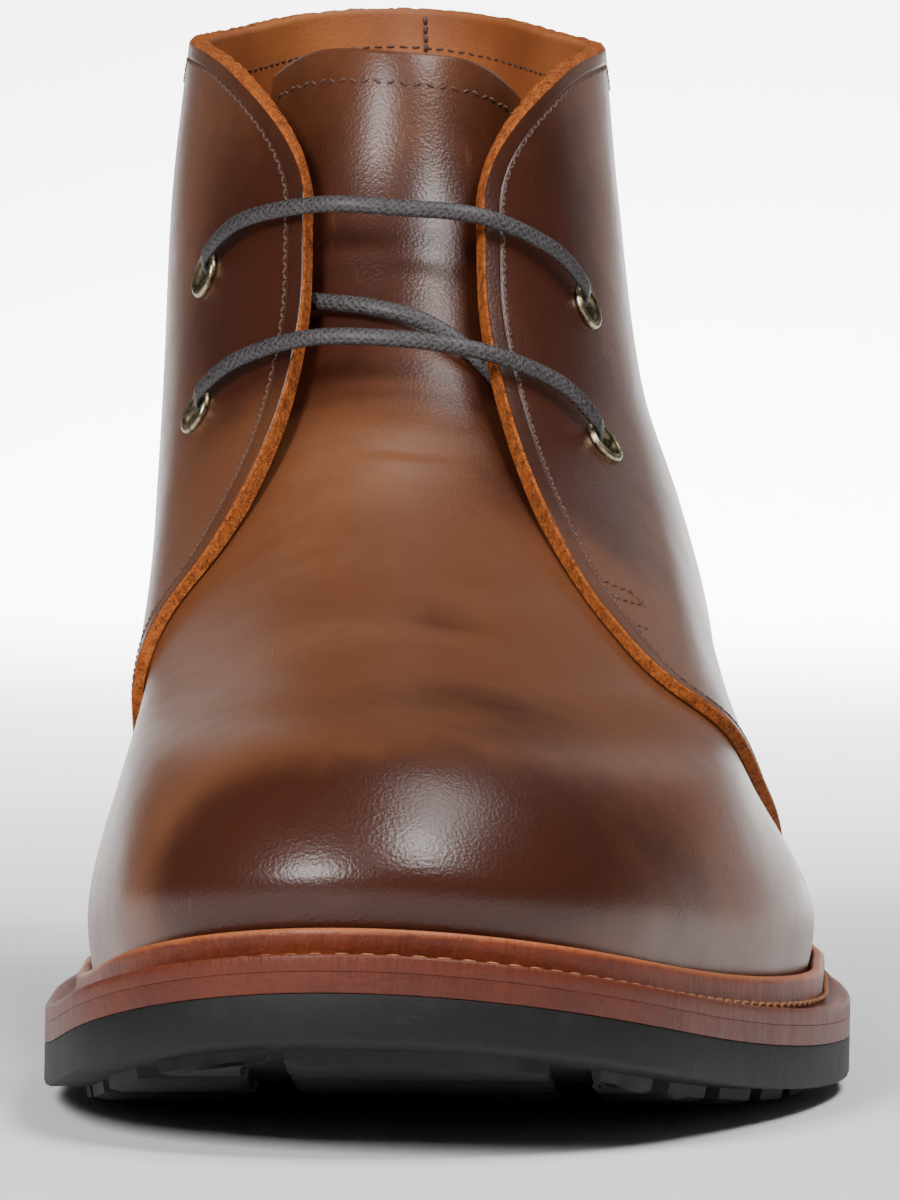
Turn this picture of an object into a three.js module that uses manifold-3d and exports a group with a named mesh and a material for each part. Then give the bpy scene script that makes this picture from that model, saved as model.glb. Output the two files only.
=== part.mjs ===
// A left men's chukka boot in plain brown leather: storm welt, leather midsole, lugged rubber sole.
// Millimetres. +Z is up, the toe points to -Y and the outer side of the foot is +X.
// The origin is on the floor, under the middle of the sole's outline.
import * as THREE from 'three';
import Module from 'manifold-3d';
import { mergeVertices } from 'three/addons/utils/BufferGeometryUtils.js';

const wasm = await Module();
wasm.setup();

// Driving sizes of the last
const lastLength = 291;
const ballWidth = 97;
const toeHeight = 29.5;
const instepRise = 36;
const shaftRise = 58;
const collarRise = 6.5;
const collarDip = 3;
const featherBulge = 0.035;

// Driving sizes of the sole
const lugDepth = 2;
const toeSpring = 14;
const treadFront = 0.33;
const treadSkew = 0.3;
const treadRear = 0.48;
const heelHeight = 22;
const heelLength = 78;
const heelTaper = 1.5;
const outsoleThickness = 5.8;
const midsoleThickness = 2;
const lugInset = 5.5;
const lugDraft = 1.2;
const soleEdgeRound = 0.7;
const grooveWidth = 5;
const grooveSpacing = 17;

// Driving sizes of the welt
const weltThickness = 2.3;
const weltAtToe = 8;
const weltAtBall = 7.2;
const weltAtWaist = 7;
const weltAtHeel = 5;
const stormLipHeight = 4.4;
const stormLipWidth = 2.2;
const weltEdgeBevel = 0.4;
const lipFoot = 0.8;

// Driving sizes of the leather pieces
const vampWall = 2.4;
const quarterOuter = 2;
const quarterInner = 1;
const tongueWall = 2.2;
const tongueSink = 4.9;
const insoleThickness = 3;

// Driving sizes of the eyelets and the lace
const eyeletBore = 2.4;
const eyeletBarrel = 2.8;
const eyeletFlange = 3.6;
const flangeThickness = 0.6;
const flangeBevel = 0.3;
const laceRadius = 1.25;
const laceLift = 0.2;

// Clearance between neighbouring pieces
const gap = 0.3;
const lipClearance = 0.5;

// Where the throat ends, as levels on the upper (0 at the sole, 1 at the collar)
const throatLevel = 0.52;
const facingTopLevel = 0.8;
const tongueTopLevel = 0.992;
const tongueCornerDrop = 0.06;
const tongueSlant = 0.01;
const throatLap = 0.05;

// How much of the quarters' length, at each end, the swept corner of the facings takes
const cornerShare = 0.21;

const halfBall = ballWidth / 2;
const DEG = Math.PI / 180;

// Outline of the last's bottom: share of the length from the toe, and how full each side is.
// A half width is half the ball width times the fullness times the sine of the outline's angle.
const lastOutline = [
  { share: 0, inner: 1.36, outer: 1.36 },
  { share: 0.12, inner: 1.06, outer: 1.2 },
  { share: 0.26, inner: 0.92, outer: 1.2 },
  { share: 0.34, inner: 0.87, outer: 1.19 },
  { share: 0.42, inner: 0.81, outer: 1.13 },
  { share: 0.52, inner: 0.68, outer: 1.03 },
  { share: 0.62, inner: 0.62, outer: 0.9 },
  { share: 0.72, inner: 0.66, outer: 0.82 },
  { share: 0.82, inner: 0.83, outer: 0.9 },
  { share: 0.92, inner: 1.02, outer: 1.04 },
  { share: 1, inner: 1.16, outer: 1.16 },
];

// Girth lines of the upper, from the sole up to the collar. front and back are shares of the last's
// length from the toe. rise counts the toe height, the instep rise and the shaft rise in turn, and
// climb is a share of the collar's height over the heel. ridge and spine are how far the front and
// the back of the line lean to the inner side, as shares of half the ball width. inner and outer
// are the fullness at the stations below.
const stations = [0, 0.2, 0.4, 0.6, 0.8, 1];
const girths = [
  { level: 0.16, front: 0.05, rise: 1, back: 1.004, climb: 0.17, ridge: 0.02, spine: 0.01,
    inner: [1.13, 0.92, 0.78, 0.71, 0.92, 1.38], outer: [1.2, 1.17, 1.0, 0.86, 0.94, 1.38] },
  { level: 0.3, front: 0.19, rise: 1.16, back: 1, climb: 0.31, ridge: 0.02, spine: 0.05,
    inner: [0.86, 0.86, 0.77, 0.73, 0.86, 1.26], outer: [0.88, 0.95, 0.87, 0.83, 0.91, 1.26] },
  { level: 0.45, front: 0.36, rise: 1.43, back: 0.988, climb: 0.46, ridge: 0.05, spine: 0.14,
    inner: [0.72, 0.79, 0.75, 0.75, 0.81, 1.04], outer: [0.74, 0.84, 0.8, 0.79, 0.83, 1.04] },
  { level: 0.6, front: 0.508, rise: 2, back: 0.98, climb: 0.61, ridge: 0.1, spine: 0.2,
    inner: [0.74, 0.72, 0.715, 0.71, 0.7, 0.84], outer: [0.74, 0.71, 0.7, 0.69, 0.69, 0.84] },
  { level: 0.8, front: 0.605, rise: 2.55, back: 0.976, climb: 0.8, ridge: 0.145, spine: 0.25,
    inner: [0.72, 0.67, 0.675, 0.665, 0.62, 0.66], outer: [0.72, 0.65, 0.65, 0.64, 0.6, 0.66] },
  { level: 1, front: 0.637, rise: 3, back: 0.984, climb: 1, ridge: 0.16, spine: 0.27,
    inner: [0.68, 0.61, 0.62, 0.61, 0.56, 0.6], outer: [0.68, 0.6, 0.61, 0.6, 0.55, 0.6] },
];

// Front edge of the quarters: level, and degrees round from the middle of the toe on each side.
const facingEdge = [
  { level: 0, inner: 93, outer: 108 },
  { level: 0.07, inner: 88, outer: 97 },
  { level: 0.15, inner: 80, outer: 78 },
  { level: 0.3, inner: 64, outer: 53 },
  { level: 0.4, inner: 54, outer: 44 },
  { level: 0.5, inner: 41, outer: 36 },
  { level: 0.6, inner: 28, outer: 27 },
  { level: 0.7, inner: 21.5, outer: 21 },
  { level: 0.8, inner: 21, outer: 20.5 },
];

// Degrees by which the vamp runs on under the quarters
const vampLap = 9;

// Side edges of the tongue: level, and degrees round from its middle.
const tongueEdge = [
  { level: 0.47, half: 34 },
  { level: 0.54, half: 35 },
  { level: 0.6, half: 37 },
  { level: 0.68, half: 40.5 },
  { level: 0.75, half: 42 },
  { level: 0.84, half: 48 },
  { level: 0.92, half: 52 },
  { level: 1, half: 53 },
];

// Eyelets: level on the upper and degrees round from the middle of the tongue.
const eyelets = {
  inner_lower: { level: 0.6, angle: -53 },
  inner_upper: { level: 0.73, angle: -53 },
  outer_lower: { level: 0.575, angle: 53 },
  outer_upper: { level: 0.705, angle: 53 },
};

// Smooth curve through the values of a key in rows that are sorted by another key.
function curveThrough(rows, by, key, at) {
  const knots = rows.map((row) => row[by]);
  const values = rows.map((row) => row[key]);
  return smooth(knots, values, at);
}

// Cubic Hermite curve through points, with slopes from the neighbouring points.
function smooth(knots, values, at) {
  const last = knots.length - 1;
  const x = Math.min(Math.max(at, knots[0]), knots[last]);
  let i = 0;
  while (i < last - 1 && x > knots[i + 1]) i += 1;
  const slope = (k) => {
    const a = Math.max(k - 1, 0);
    const b = Math.min(k + 1, last);
    return (values[b] - values[a]) / (knots[b] - knots[a]);
  };
  const span = knots[i + 1] - knots[i];
  const u = (x - knots[i]) / span;
  const rise = values[i + 1] - values[i];
  const near = slope(i) * span - rise;
  const far = rise - slope(i + 1) * span;
  return values[i] + rise * u + u * (1 - u) * (near * (1 - u) + far * u);
}

function smoothstep(from, to, at) {
  const u = Math.min(Math.max((at - from) / (to - from), 0), 1);
  return u * u * (3 - 2 * u);
}

function mix(a, b, share) {
  return a + (b - a) * share;
}

// The last's outline runs from angle 0 at the toe, round the outer side, to 180 degrees at the heel.
function shareAt(angle) {
  return (1 - Math.cos(angle)) / 2;
}

function sideOf(angle) {
  return Math.sin(angle) >= 0 ? 'outer' : 'inner';
}

function featherOutline(angle) {
  const share = shareAt(angle);
  const fullness = curveThrough(lastOutline, 'share', sideOf(angle), share);
  return [Math.sin(angle) * fullness * halfBall, share * lastLength];
}

function weltWidth(share) {
  const shares = [0, 0.33, 0.62, 0.85, 1];
  return smooth(shares, [weltAtToe, weltAtBall, weltAtWaist, weltAtHeel, weltAtHeel], share);
}

// Outline moved outwards by a distance, in the last's own plan.
function movedOutline(angle, distance) {
  const step = 0.01;
  const a = featherOutline(angle - step);
  const b = featherOutline(angle + step);
  const length = Math.hypot(b[0] - a[0], b[1] - a[1]);
  const p = featherOutline(angle);
  return [p[0] + ((b[1] - a[1]) / length) * distance, p[1] - ((b[0] - a[0]) / length) * distance];
}

// The plan is centred on the box round the sole's edge.
function findCentre() {
  const edge = [];
  for (let degrees = 0; degrees < 360; degrees += 1) {
    const angle = degrees * DEG;
    edge.push(movedOutline(angle, weltWidth(shareAt(angle))));
  }
  const middle = (k) => (Math.min(...edge.map((p) => p[k])) + Math.max(...edge.map((p) => p[k]))) / 2;
  return [middle(0), middle(1)];
}

const [centreX, centreY] = findCentre();
const toeY = -centreY;
const soleToeY = toeY - weltAtToe;
const soleHeelY = toeY + lastLength + weltAtHeel;
const heelBreastY = soleHeelY - heelLength;
const treadFrontY = mix(soleToeY, soleHeelY, treadFront);
const treadRearY = mix(soleToeY, soleHeelY, treadRear);

// Height of the rubber sole's underside: toe spring, flat tread, then the rise to the heel.
// The toe spring starts further back on the outer side, as the ball of the foot runs aslant.
function underside(x, y) {
  const startY = treadFrontY + treadSkew * x;
  const spring = Math.max(0, (startY - y) / (startY - soleToeY));
  return lugDepth + toeSpring * spring * spring + (heelHeight - lugDepth) * heelRise(y);
}

function heelRise(y) {
  return smoothstep(treadRearY, heelBreastY + heelLength * 0.12, y);
}

const midsoleBottom = outsoleThickness + gap;
const midsoleTop = midsoleBottom + midsoleThickness;
const featherAbove = midsoleTop + 1.5 * gap;

function featherHeight(x, y) {
  return underside(x, y) + featherAbove;
}

// Girth lines for all levels: the first two follow the last's bottom, the rest come from the table.
const firstLines = [
  { level: 0, front: 0, rise: 0, back: 1, climb: 0, ridge: 0, spine: 0 },
  { level: 0.07, front: -0.008, rise: 0.5, back: 1.003, climb: 0.07, ridge: 0.01, spine: 0 },
];
const lines = [...firstLines, ...girths];
const levels = lines.map((line) => line.level);

function along(key, level) {
  return curveThrough(lines, 'level', key, level);
}

function riseOf(count) {
  const part = (from) => Math.min(Math.max(count - from, 0), 1);
  return toeHeight * part(0) + instepRise * part(1) + shaftRise * part(2);
}

const riseAtLevels = lines.map((line) => riseOf(line.rise));
const toeZ = featherHeight(0, toeY);
const heelZ = featherHeight(0, toeY + lastLength);
const collarFrontZ = toeZ + riseOf(3);
const collarBackZ = collarFrontZ + collarRise;

// Side view of a girth line: its front and back points, and its sag towards the sole or the collar.
function sideView(level, angle) {
  const share = shareAt(angle);
  const frontY = toeY + along('front', level) * lastLength;
  const backY = toeY + along('back', level) * lastLength;
  const frontZ = toeZ + smooth(levels, riseAtLevels, level);
  const backZ = heelZ + along('climb', level) * (collarBackZ - heelZ);
  const foot = featherOutline(angle);
  const bottomSag = featherHeight(foot[0] - centreX, foot[1] - centreY) - mix(toeZ, heelZ, share);
  const collarSag = -collarDip * 4 * share * (1 - share);
  const fromSole = Math.pow(1 - level, 2.5);
  const fromCollar = Math.pow(level, 3);
  return [
    mix(frontY, backY, share),
    mix(frontZ, backZ, share) + bottomSag * fromSole + collarSag * fromCollar,
  ];
}

function fullnessAt(level, share, side) {
  const feather = curveThrough(lastOutline, 'share', side, share);
  const above = girths.map((line) => smooth(stations, line[side], share));
  return smooth(levels, [feather, feather * (1 + featherBulge), ...above], level);
}

// Point of the upper's own surface, the outside of the vamp and the tongue.
function surface(level, angle) {
  const share = shareAt(angle);
  const [y, z] = sideView(level, angle);
  const lean = mix(along('ridge', level), along('spine', level), share) * halfBall;
  const half = Math.sin(angle) * fullnessAt(level, share, sideOf(angle)) * halfBall;
  return new THREE.Vector3(half - lean - centreX, y, z);
}

// Outward direction of that surface. It lies level at the sole, so that the wall stands upright there.
function outward(level, angle) {
  const d = 0.004;
  const up = surface(Math.min(level + d, 1), angle).sub(surface(Math.max(level - d, 0), angle));
  const round = surface(level, angle + d).sub(surface(level, angle - d));
  const normal = new THREE.Vector3().crossVectors(round, up).normalize();
  normal.z *= smoothstep(0, 0.06, level);
  return normal.normalize();
}

// Point at a height over that surface. Near the sole it keeps to the slope of the sole's top.
function skin(level, angle, offset) {
  const point = surface(level, angle);
  const before = featherHeight(point.x, point.y);
  point.addScaledVector(outward(level, angle), offset);
  const change = featherHeight(point.x, point.y) - before;
  point.z += change * (1 - smoothstep(0, 0.12, level));
  return point;
}

// Level at which the surface stands a given height above the sole's top.
function levelAbove(angle, height) {
  let low = 0;
  let high = 0.3;
  for (let i = 0; i < 24; i += 1) {
    const middle = (low + high) / 2;
    const point = surface(middle, angle);
    if (point.z - featherHeight(point.x, point.y) < height) low = middle;
    else high = middle;
  }
  return low;
}

// Share of the way up a wall, with closer rows near the sole, where it bends most.
function climb(v) {
  return 0.7 * v + 0.3 * v * v;
}

// A closed wall made from a box of cells, whose corners are moved to place(u, v, w), each from 0 to 1.
function wall(across, up, place) {
  const box = new THREE.BoxGeometry(1, 1, 1, across, up, 1);
  const position = box.attributes.position;
  for (let i = 0; i < position.count; i += 1) {
    const point = place(position.getX(i) + 0.5, position.getY(i) + 0.5, position.getZ(i) + 0.5);
    position.setXYZ(i, point.x, point.y, point.z);
  }
  return merged(box);
}

// Outlines stacked from the bottom up, closed below and above by strips across the sole.
function slab(outlines, count) {
  const points = [];
  const faces = [];
  for (const outline of outlines) {
    for (let i = 0; i < count; i += 1) points.push(...outline((i / count) * 2 * Math.PI));
  }
  for (let k = 0; k + 1 < outlines.length; k += 1) {
    for (let i = 0; i < count; i += 1) {
      const a = k * count + i;
      const b = k * count + ((i + 1) % count);
      faces.push(a, b, b + count, a, b + count, a + count);
    }
  }
  const top = (outlines.length - 1) * count;
  for (let i = 0; i < count / 2; i += 1) {
    const right = [i, i + 1];
    const left = [(count - i) % count, count - i - 1];
    if (i > 0) faces.push(right[0], left[0], left[1], top + right[0], top + left[1], top + left[0]);
    if (i + 1 < count / 2) {
      faces.push(right[0], left[1], right[1], top + right[0], top + right[1], top + left[1]);
    }
  }
  return indexed(points, faces);
}

// A closed band round the last: one profile point after another, each a function of the angle.
function band(profile, count) {
  const points = [];
  const faces = [];
  const size = profile.length;
  for (let i = 0; i < count; i += 1) {
    for (const place of profile) points.push(...place((i / count) * 2 * Math.PI));
  }
  for (let i = 0; i < count; i += 1) {
    for (let k = 0; k < size; k += 1) {
      const a = i * size + k;
      const b = i * size + ((k + 1) % size);
      const c = ((i + 1) % count) * size + ((k + 1) % size);
      const d = ((i + 1) % count) * size + k;
      faces.push(a, d, c, a, c, b);
    }
  }
  return indexed(points, faces);
}

function indexed(points, faces) {
  const geometry = new THREE.BufferGeometry();
  geometry.setAttribute('position', new THREE.Float32BufferAttribute(points, 3));
  geometry.setIndex(faces);
  return geometry;
}

function merged(geometry) {
  geometry.deleteAttribute('normal');
  geometry.deleteAttribute('uv');
  return mergeVertices(geometry, 1e-4);
}

function solid(geometry) {
  return new wasm.Manifold(new wasm.Mesh({
    numProp: 3,
    vertProperties: new Float32Array(geometry.attributes.position.array),
    triVerts: new Uint32Array(geometry.index.array),
  }));
}

function unwrap(manifold) {
  const mesh = manifold.getMesh();
  return indexed(Array.from(mesh.vertProperties), Array.from(mesh.triVerts));
}

// Upright block between two corners in plan and two heights, as a solid for cutting.
function block(x0, x1, y0, y1, z0, z1) {
  const box = new THREE.BoxGeometry(x1 - x0, y1 - y0, z1 - z0);
  box.translate((x0 + x1) / 2, (y0 + y1) / 2, (z0 + z1) / 2);
  return solid(merged(box));
}

// Outline of the sole moved inwards by an inset, at a height above its own underside.
function soleRing(inset, above) {
  return (angle) => {
    const [x, y] = movedOutline(angle, weltWidth(shareAt(angle)) - inset);
    return [x - centreX, y - centreY, underside(x - centreX, y - centreY) + above];
  };
}

function flatRing(inset, height) {
  return (angle) => {
    const [x, y] = movedOutline(angle, weltWidth(shareAt(angle)) - inset);
    return [x - centreX, y - centreY, height];
  };
}

const soleSegments = 80;
const farAway = 400;

// Rubber sole with lugs under the forefoot, parted by cross grooves and two long ones.
function makeOutsole() {
  const plate = solid(slab([
    soleRing(soleEdgeRound, 0),
    soleRing(0, soleEdgeRound),
    soleRing(0, outsoleThickness),
  ], soleSegments));
  let lugs = solid(slab([
    soleRing(lugInset + lugDraft, -lugDepth),
    soleRing(lugInset, soleEdgeRound),
  ], soleSegments));
  const lugsEndY = treadRearY + grooveSpacing;
  lugs = lugs.intersect(block(-farAway, farAway, -farAway, lugsEndY, -farAway, farAway));
  const firstY = soleToeY + grooveSpacing * 1.1;
  for (let y = firstY; y < lugsEndY - grooveWidth; y += grooveSpacing) {
    lugs = lugs.subtract(block(-farAway, farAway, y, y + grooveWidth, -farAway, farAway));
  }
  for (const side of [-1, 1]) {
    const x = side * halfBall * 0.4;
    const half = grooveWidth / 2;
    lugs = lugs.subtract(block(x - half, x + half, -farAway, farAway, -farAway, farAway));
  }
  return unwrap(plate.add(lugs));
}

// Rubber heel block, a little narrower at the floor, with a straight breast and two tread grooves.
function makeHeel() {
  const top = soleRing(heelTaper / 2, -gap);
  const body = solid(slab([
    flatRing(heelTaper + soleEdgeRound, 0),
    flatRing(heelTaper, soleEdgeRound),
    top,
  ], soleSegments));
  const behindBreast = block(-farAway, farAway, heelBreastY, farAway, -farAway, farAway);
  let heel = body.intersect(behindBreast);
  for (const step of [1, 3]) {
    const y = heelBreastY + (heelLength * step) / 4;
    heel = heel.subtract(block(-farAway, farAway, y - grooveWidth / 2, y + grooveWidth / 2, -1, lugDepth));
  }
  return unwrap(heel);
}

function makeMidsole() {
  return slab([soleRing(0, midsoleBottom), soleRing(0, midsoleTop)], soleSegments);
}

// How far the upper stands out from its own surface where it meets the welt's lip.
function upperOutset(angle) {
  const degrees = Math.abs(Math.atan2(Math.sin(angle), Math.cos(angle))) / DEG;
  const lipLevel = 0.1;
  const seam = curveThrough(facingEdge, 'level', sideOf(angle), lipLevel);
  return quarterOuter * smoothstep(seam - 14, seam - 2, degrees);
}

// Leather welt with a storm lip that stands up against the upper.
function makeWelt() {
  const fromEdge = (inset, above) => soleRing(inset, featherAbove + above);
  const beside = (clearance, above) => (angle) => {
    const level = levelAbove(angle, above);
    return skin(level, angle, upperOutset(angle) + lipClearance + clearance).toArray();
  };
  const lipTop = weltThickness + stormLipHeight;
  return band([
    fromEdge(0, 0),
    fromEdge(0, weltThickness - weltEdgeBevel),
    fromEdge(weltEdgeBevel, weltThickness),
    beside(stormLipWidth + lipFoot, weltThickness),
    beside(stormLipWidth, weltThickness + lipFoot),
    beside(stormLipWidth * 0.7, lipTop),
    beside(0, lipTop),
    beside(0, weltThickness),
    beside(0, 0),
  ], soleSegments);
}

function makeInsole() {
  const clearance = -(vampWall + 1.5 * gap);
  const ring = (above) => (angle) => {
    const [x, y] = movedOutline(angle, clearance);
    return [x - centreX, y - centreY, featherHeight(x - centreX, y - centreY) + above];
  };
  return slab([ring(0), ring(insoleThickness)], soleSegments);
}

// Vamp: from the sole up to the throat, tucked under the quarters' front edges.
function vampPoint(u, v, w) {
  const level = climb(v) * throatLevel;
  const edge = (side) => (curveThrough(facingEdge, 'level', side, level) + vampLap) * DEG;
  const angle = mix(-edge('inner'), edge('outer'), u);
  return skin(level, angle, mix(-vampWall, 0, w));
}

// Quarters: both sides in one piece round the heel. The top front corners are swept back.
function quarterPoint(u, v, w) {
  const eased = mix(u, (1 - Math.cos(Math.PI * u)) / 2, 0.5);
  const corner = Math.min(Math.min(eased, 1 - eased) / cornerShare, 1);
  const top = facingTopLevel + (1 - facingTopLevel) * Math.sqrt(1 - (1 - corner) ** 2);
  const level = climb(v) * top;
  const edge = (side) => curveThrough(facingEdge, 'level', side, level) * DEG;
  const angle = mix(edge('outer'), 2 * Math.PI - edge('inner'), eased);
  return skin(level, angle, mix(-quarterInner, quarterOuter, w));
}

// A turned post along the surface's outward direction, from a list of radius and offset pairs.
function turnedAt(place, profile, sides) {
  const points = profile.map(([radius, height]) => new THREE.Vector2(radius, height));
  const lathe = merged(new THREE.LatheGeometry(points, sides));
  const angle = place.angle * DEG;
  const turn = new THREE.Quaternion();
  turn.setFromUnitVectors(new THREE.Vector3(0, 1, 0), outward(place.level, angle));
  lathe.applyQuaternion(turn);
  const centre = surface(place.level, angle);
  return lathe.translate(centre.x, centre.y, centre.z);
}

function makeUpper() {
  const vamp = solid(wall(30, 12, vampPoint));
  let upper = solid(wall(40, 15, quarterPoint)).add(vamp);
  const reach = 6;
  const holeRadius = eyeletBarrel + gap;
  for (const place of Object.values(eyelets)) {
    const hole = [[0, -reach], [holeRadius, -reach], [holeRadius, reach], [0, reach]];
    upper = upper.subtract(solid(turnedAt(place, hole, 16)));
  }
  return unwrap(upper);
}

// Tongue: tucked under the vamp at the throat and sunk behind the quarters, to clear the lace.
// Its top edge drops at the corners and slants down to the outer side.
function tonguePoint(u, v, w) {
  const across = 2 * u - 1;
  const startLevel = throatLevel - throatLap;
  const topLevel = tongueTopLevel - tongueCornerDrop * Math.abs(across) ** 3 - tongueSlant * across;
  const level = mix(startLevel, topLevel, v);
  const halfAngle = curveThrough(tongueEdge, 'level', 'half', level) * DEG;
  const underVamp = vampWall + gap;
  const sink = mix(underVamp, tongueSink, smoothstep(throatLevel - 0.2 * throatLap, 0.6, level));
  return skin(level, across * halfAngle, mix(-sink - tongueWall, -sink, w));
}

function makeTongue() {
  return wall(10, 12, tonguePoint);
}

// Heights of an eyelet's two flanges over the upper's own surface.
const flangeFront = quarterOuter + 2.5 * gap;
const flangeBack = -quarterInner - 2.5 * gap;

function makeEyelet(place) {
  const profile = [
    [eyeletBore, flangeBack - flangeThickness],
    [eyeletFlange - flangeBevel, flangeBack - flangeThickness],
    [eyeletFlange - flangeBevel, flangeBack],
    [eyeletBarrel, flangeBack],
    [eyeletBarrel, flangeFront],
    [eyeletFlange, flangeFront],
    [eyeletFlange - flangeBevel, flangeFront + flangeThickness],
    [eyeletBore + flangeBevel, flangeFront + flangeThickness],
    [eyeletBore, flangeFront + flangeThickness / 2],
    [eyeletBore, flangeBack - flangeThickness],
  ];
  return turnedAt(place, profile, 14);
}

// Points of the lace: level, degrees round from the middle of the tongue, and height over the leather.
// One end stops behind the outer upper eyelet. The lace crosses in front, passes through the inner
// upper eyelet, runs down behind the facings to the outer lower eyelet, crosses in front again and
// ends behind the inner lower eyelet.
const overFacing = quarterOuter + laceRadius + 2 * gap;
const behindFacing = -quarterInner - laceRadius - 2 * gap;
const overEyelet = flangeFront + flangeThickness + laceRadius + 2 * gap;
const behindEyelet = flangeBack - flangeThickness - laceRadius - 2 * gap;
const inHole = (quarterOuter - quarterInner) / 2;
const overEdge = overFacing + 2 * laceLift;
const overTongue = overFacing + laceLift;
const middleOfBar = overFacing - 3 * laceLift;
const outwards = [behindEyelet, flangeBack, inHole, flangeFront, overEyelet];
const inwards = [...outwards].reverse();
function through(name, heights) {
  const { level, angle } = eyelets[name];
  return heights.map((height) => [level, angle, height]);
}
const laceRoute = [
  ...through('outer_upper', outwards),
  [0.722, 46, overEyelet],
  [0.755, 35, overEdge],
  [0.782, 17, overTongue],
  [0.793, 0, middleOfBar],
  [0.792, -17, overTongue],
  [0.776, -35, overEdge],
  [0.745, -46, overEyelet],
  ...through('inner_upper', inwards),
  [0.726, -47, behindEyelet],
  [0.724, -38, behindFacing],
  [0.726, -22, behindFacing],
  [0.724, -6, behindFacing],
  [0.712, 8, behindFacing],
  [0.68, 22, behindFacing],
  [0.625, 36, behindFacing],
  [0.588, 46, behindEyelet],
  ...through('outer_lower', outwards),
  [0.595, 46, overEyelet],
  [0.63, 35, overEdge],
  [0.658, 18, overEdge],
  [0.67, 0, overFacing],
  [0.668, -18, overEdge],
  [0.647, -35, overEdge],
  [0.618, -46, overEyelet],
  ...through('inner_lower', inwards),
];

function makeLace() {
  const points = laceRoute.map(([level, angle, height]) => skin(level, angle * DEG, height));
  const path = new THREE.CatmullRomCurve3(points, false, 'centripetal');
  const circle = new THREE.Shape();
  circle.absarc(0, 0, laceRadius, 0, 2 * Math.PI, false);
  const options = { extrudePath: path, steps: 80, curveSegments: 4, bevelEnabled: false };
  return merged(new THREE.ExtrudeGeometry(circle, options));
}

const leather = { color: 0x6b3f26, roughness: 0.42, metalness: 0 };
const edgeLeather = { color: 0x8f4a26, roughness: 0.6, metalness: 0 };
const lining = { color: 0xa2602f, roughness: 0.75, metalness: 0 };
const rubber = { color: 0x24252a, roughness: 0.7, metalness: 0 };
const brass = { color: 0x7d7250, roughness: 0.35, metalness: 1 };
const waxedCotton = { color: 0x38343a, roughness: 0.55, metalness: 0 };

const boot = new THREE.Group();

function add(name, geometry, finish) {
  const mesh = new THREE.Mesh(geometry, new THREE.MeshStandardMaterial(finish));
  mesh.name = name;
  boot.add(mesh);
}

add('outsole', makeOutsole(), rubber);
add('heel', makeHeel(), rubber);
add('midsole', makeMidsole(), edgeLeather);
add('welt', makeWelt(), edgeLeather);
add('insole', makeInsole(), lining);
add('upper', makeUpper(), leather);
add('tongue', makeTongue(), leather);
for (const [name, place] of Object.entries(eyelets)) {
  add('eyelet_' + name, makeEyelet(place), brass);
}
add('lace', makeLace(), waxedCotton);

export default boot;
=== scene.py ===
# %% [markdown]
# # Dressing a chukka boot
# The CAD model of this boot is a set of plain solids in the right places. This lesson turns them
# into leather, rubber, brass and waxed lace. Each piece is a surface worked out with numpy as whole
# arrays, so its shape can be changed by changing a number, and each finish is a small node tree.
# Lengths are in millimetres until a mesh is made, because boots are measured that way.

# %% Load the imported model
import math

import bmesh
import bpy
import numpy as np

from mathutils import Matrix


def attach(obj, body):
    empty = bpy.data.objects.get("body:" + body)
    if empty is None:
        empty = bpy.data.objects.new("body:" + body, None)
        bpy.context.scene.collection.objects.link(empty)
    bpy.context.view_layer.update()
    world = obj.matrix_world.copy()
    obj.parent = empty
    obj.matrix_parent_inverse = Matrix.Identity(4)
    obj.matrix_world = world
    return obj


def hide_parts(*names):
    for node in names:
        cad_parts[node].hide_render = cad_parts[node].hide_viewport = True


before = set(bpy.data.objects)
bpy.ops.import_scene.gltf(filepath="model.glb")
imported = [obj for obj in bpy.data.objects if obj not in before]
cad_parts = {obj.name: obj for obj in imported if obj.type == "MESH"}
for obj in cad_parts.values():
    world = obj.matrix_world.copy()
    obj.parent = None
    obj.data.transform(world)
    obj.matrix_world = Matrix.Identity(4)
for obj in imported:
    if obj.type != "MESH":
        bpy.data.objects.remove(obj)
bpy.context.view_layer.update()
MM = 0.001
print("nodes:", sorted(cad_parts))

# %% [markdown]
# ## The camera
# The photograph was taken from straight in front, a little above the toe, with a long lens that
# flattens the boot. A camera is only a place and three directions, so it is worked out from an
# azimuth, an elevation and a small roll, and the same numbers turn a point on the boot into pixels.

# %% Camera
PHOTO_WIDTH = 900
PHOTO_HEIGHT = 1200
FOCAL_PIXELS = 8888
SENSOR_HEIGHT = 36
AZIMUTH = math.radians(2.97)
ELEVATION = math.radians(3.87)
ROLL = math.radians(1.03)
DISTANCE = 1185
aim = np.array([0.0, -85.0, 40.0])
aim_pixel = np.array([442.0, 814.9])


def camera_axes():
    """Right, up and forward directions: forward runs from the camera to the aim, then right and up
    are turned by the roll, and all three are turned so that the picture's middle is straight on."""
    back = np.array([math.sin(AZIMUTH) * math.cos(ELEVATION),
                     -math.cos(AZIMUTH) * math.cos(ELEVATION), math.sin(ELEVATION)])
    place = aim + DISTANCE * back
    right = np.cross(-back, [0, 0, 1])
    right /= np.linalg.norm(right)
    up = np.cross(right, -back)
    rolled_right = math.cos(ROLL) * right + math.sin(ROLL) * up
    rolled_up = math.cos(ROLL) * up - math.sin(ROLL) * right
    side = (PHOTO_WIDTH / 2 - aim_pixel[0]) / FOCAL_PIXELS
    height = (aim_pixel[1] - PHOTO_HEIGHT / 2) / FOCAL_PIXELS
    forward = -back + side * rolled_right + height * rolled_up
    forward /= np.linalg.norm(forward)
    right = rolled_right - forward * (rolled_right @ forward)
    right /= np.linalg.norm(right)
    return place, right, np.cross(right, forward), forward


eye, eye_right, eye_up, eye_forward = camera_axes()


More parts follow.
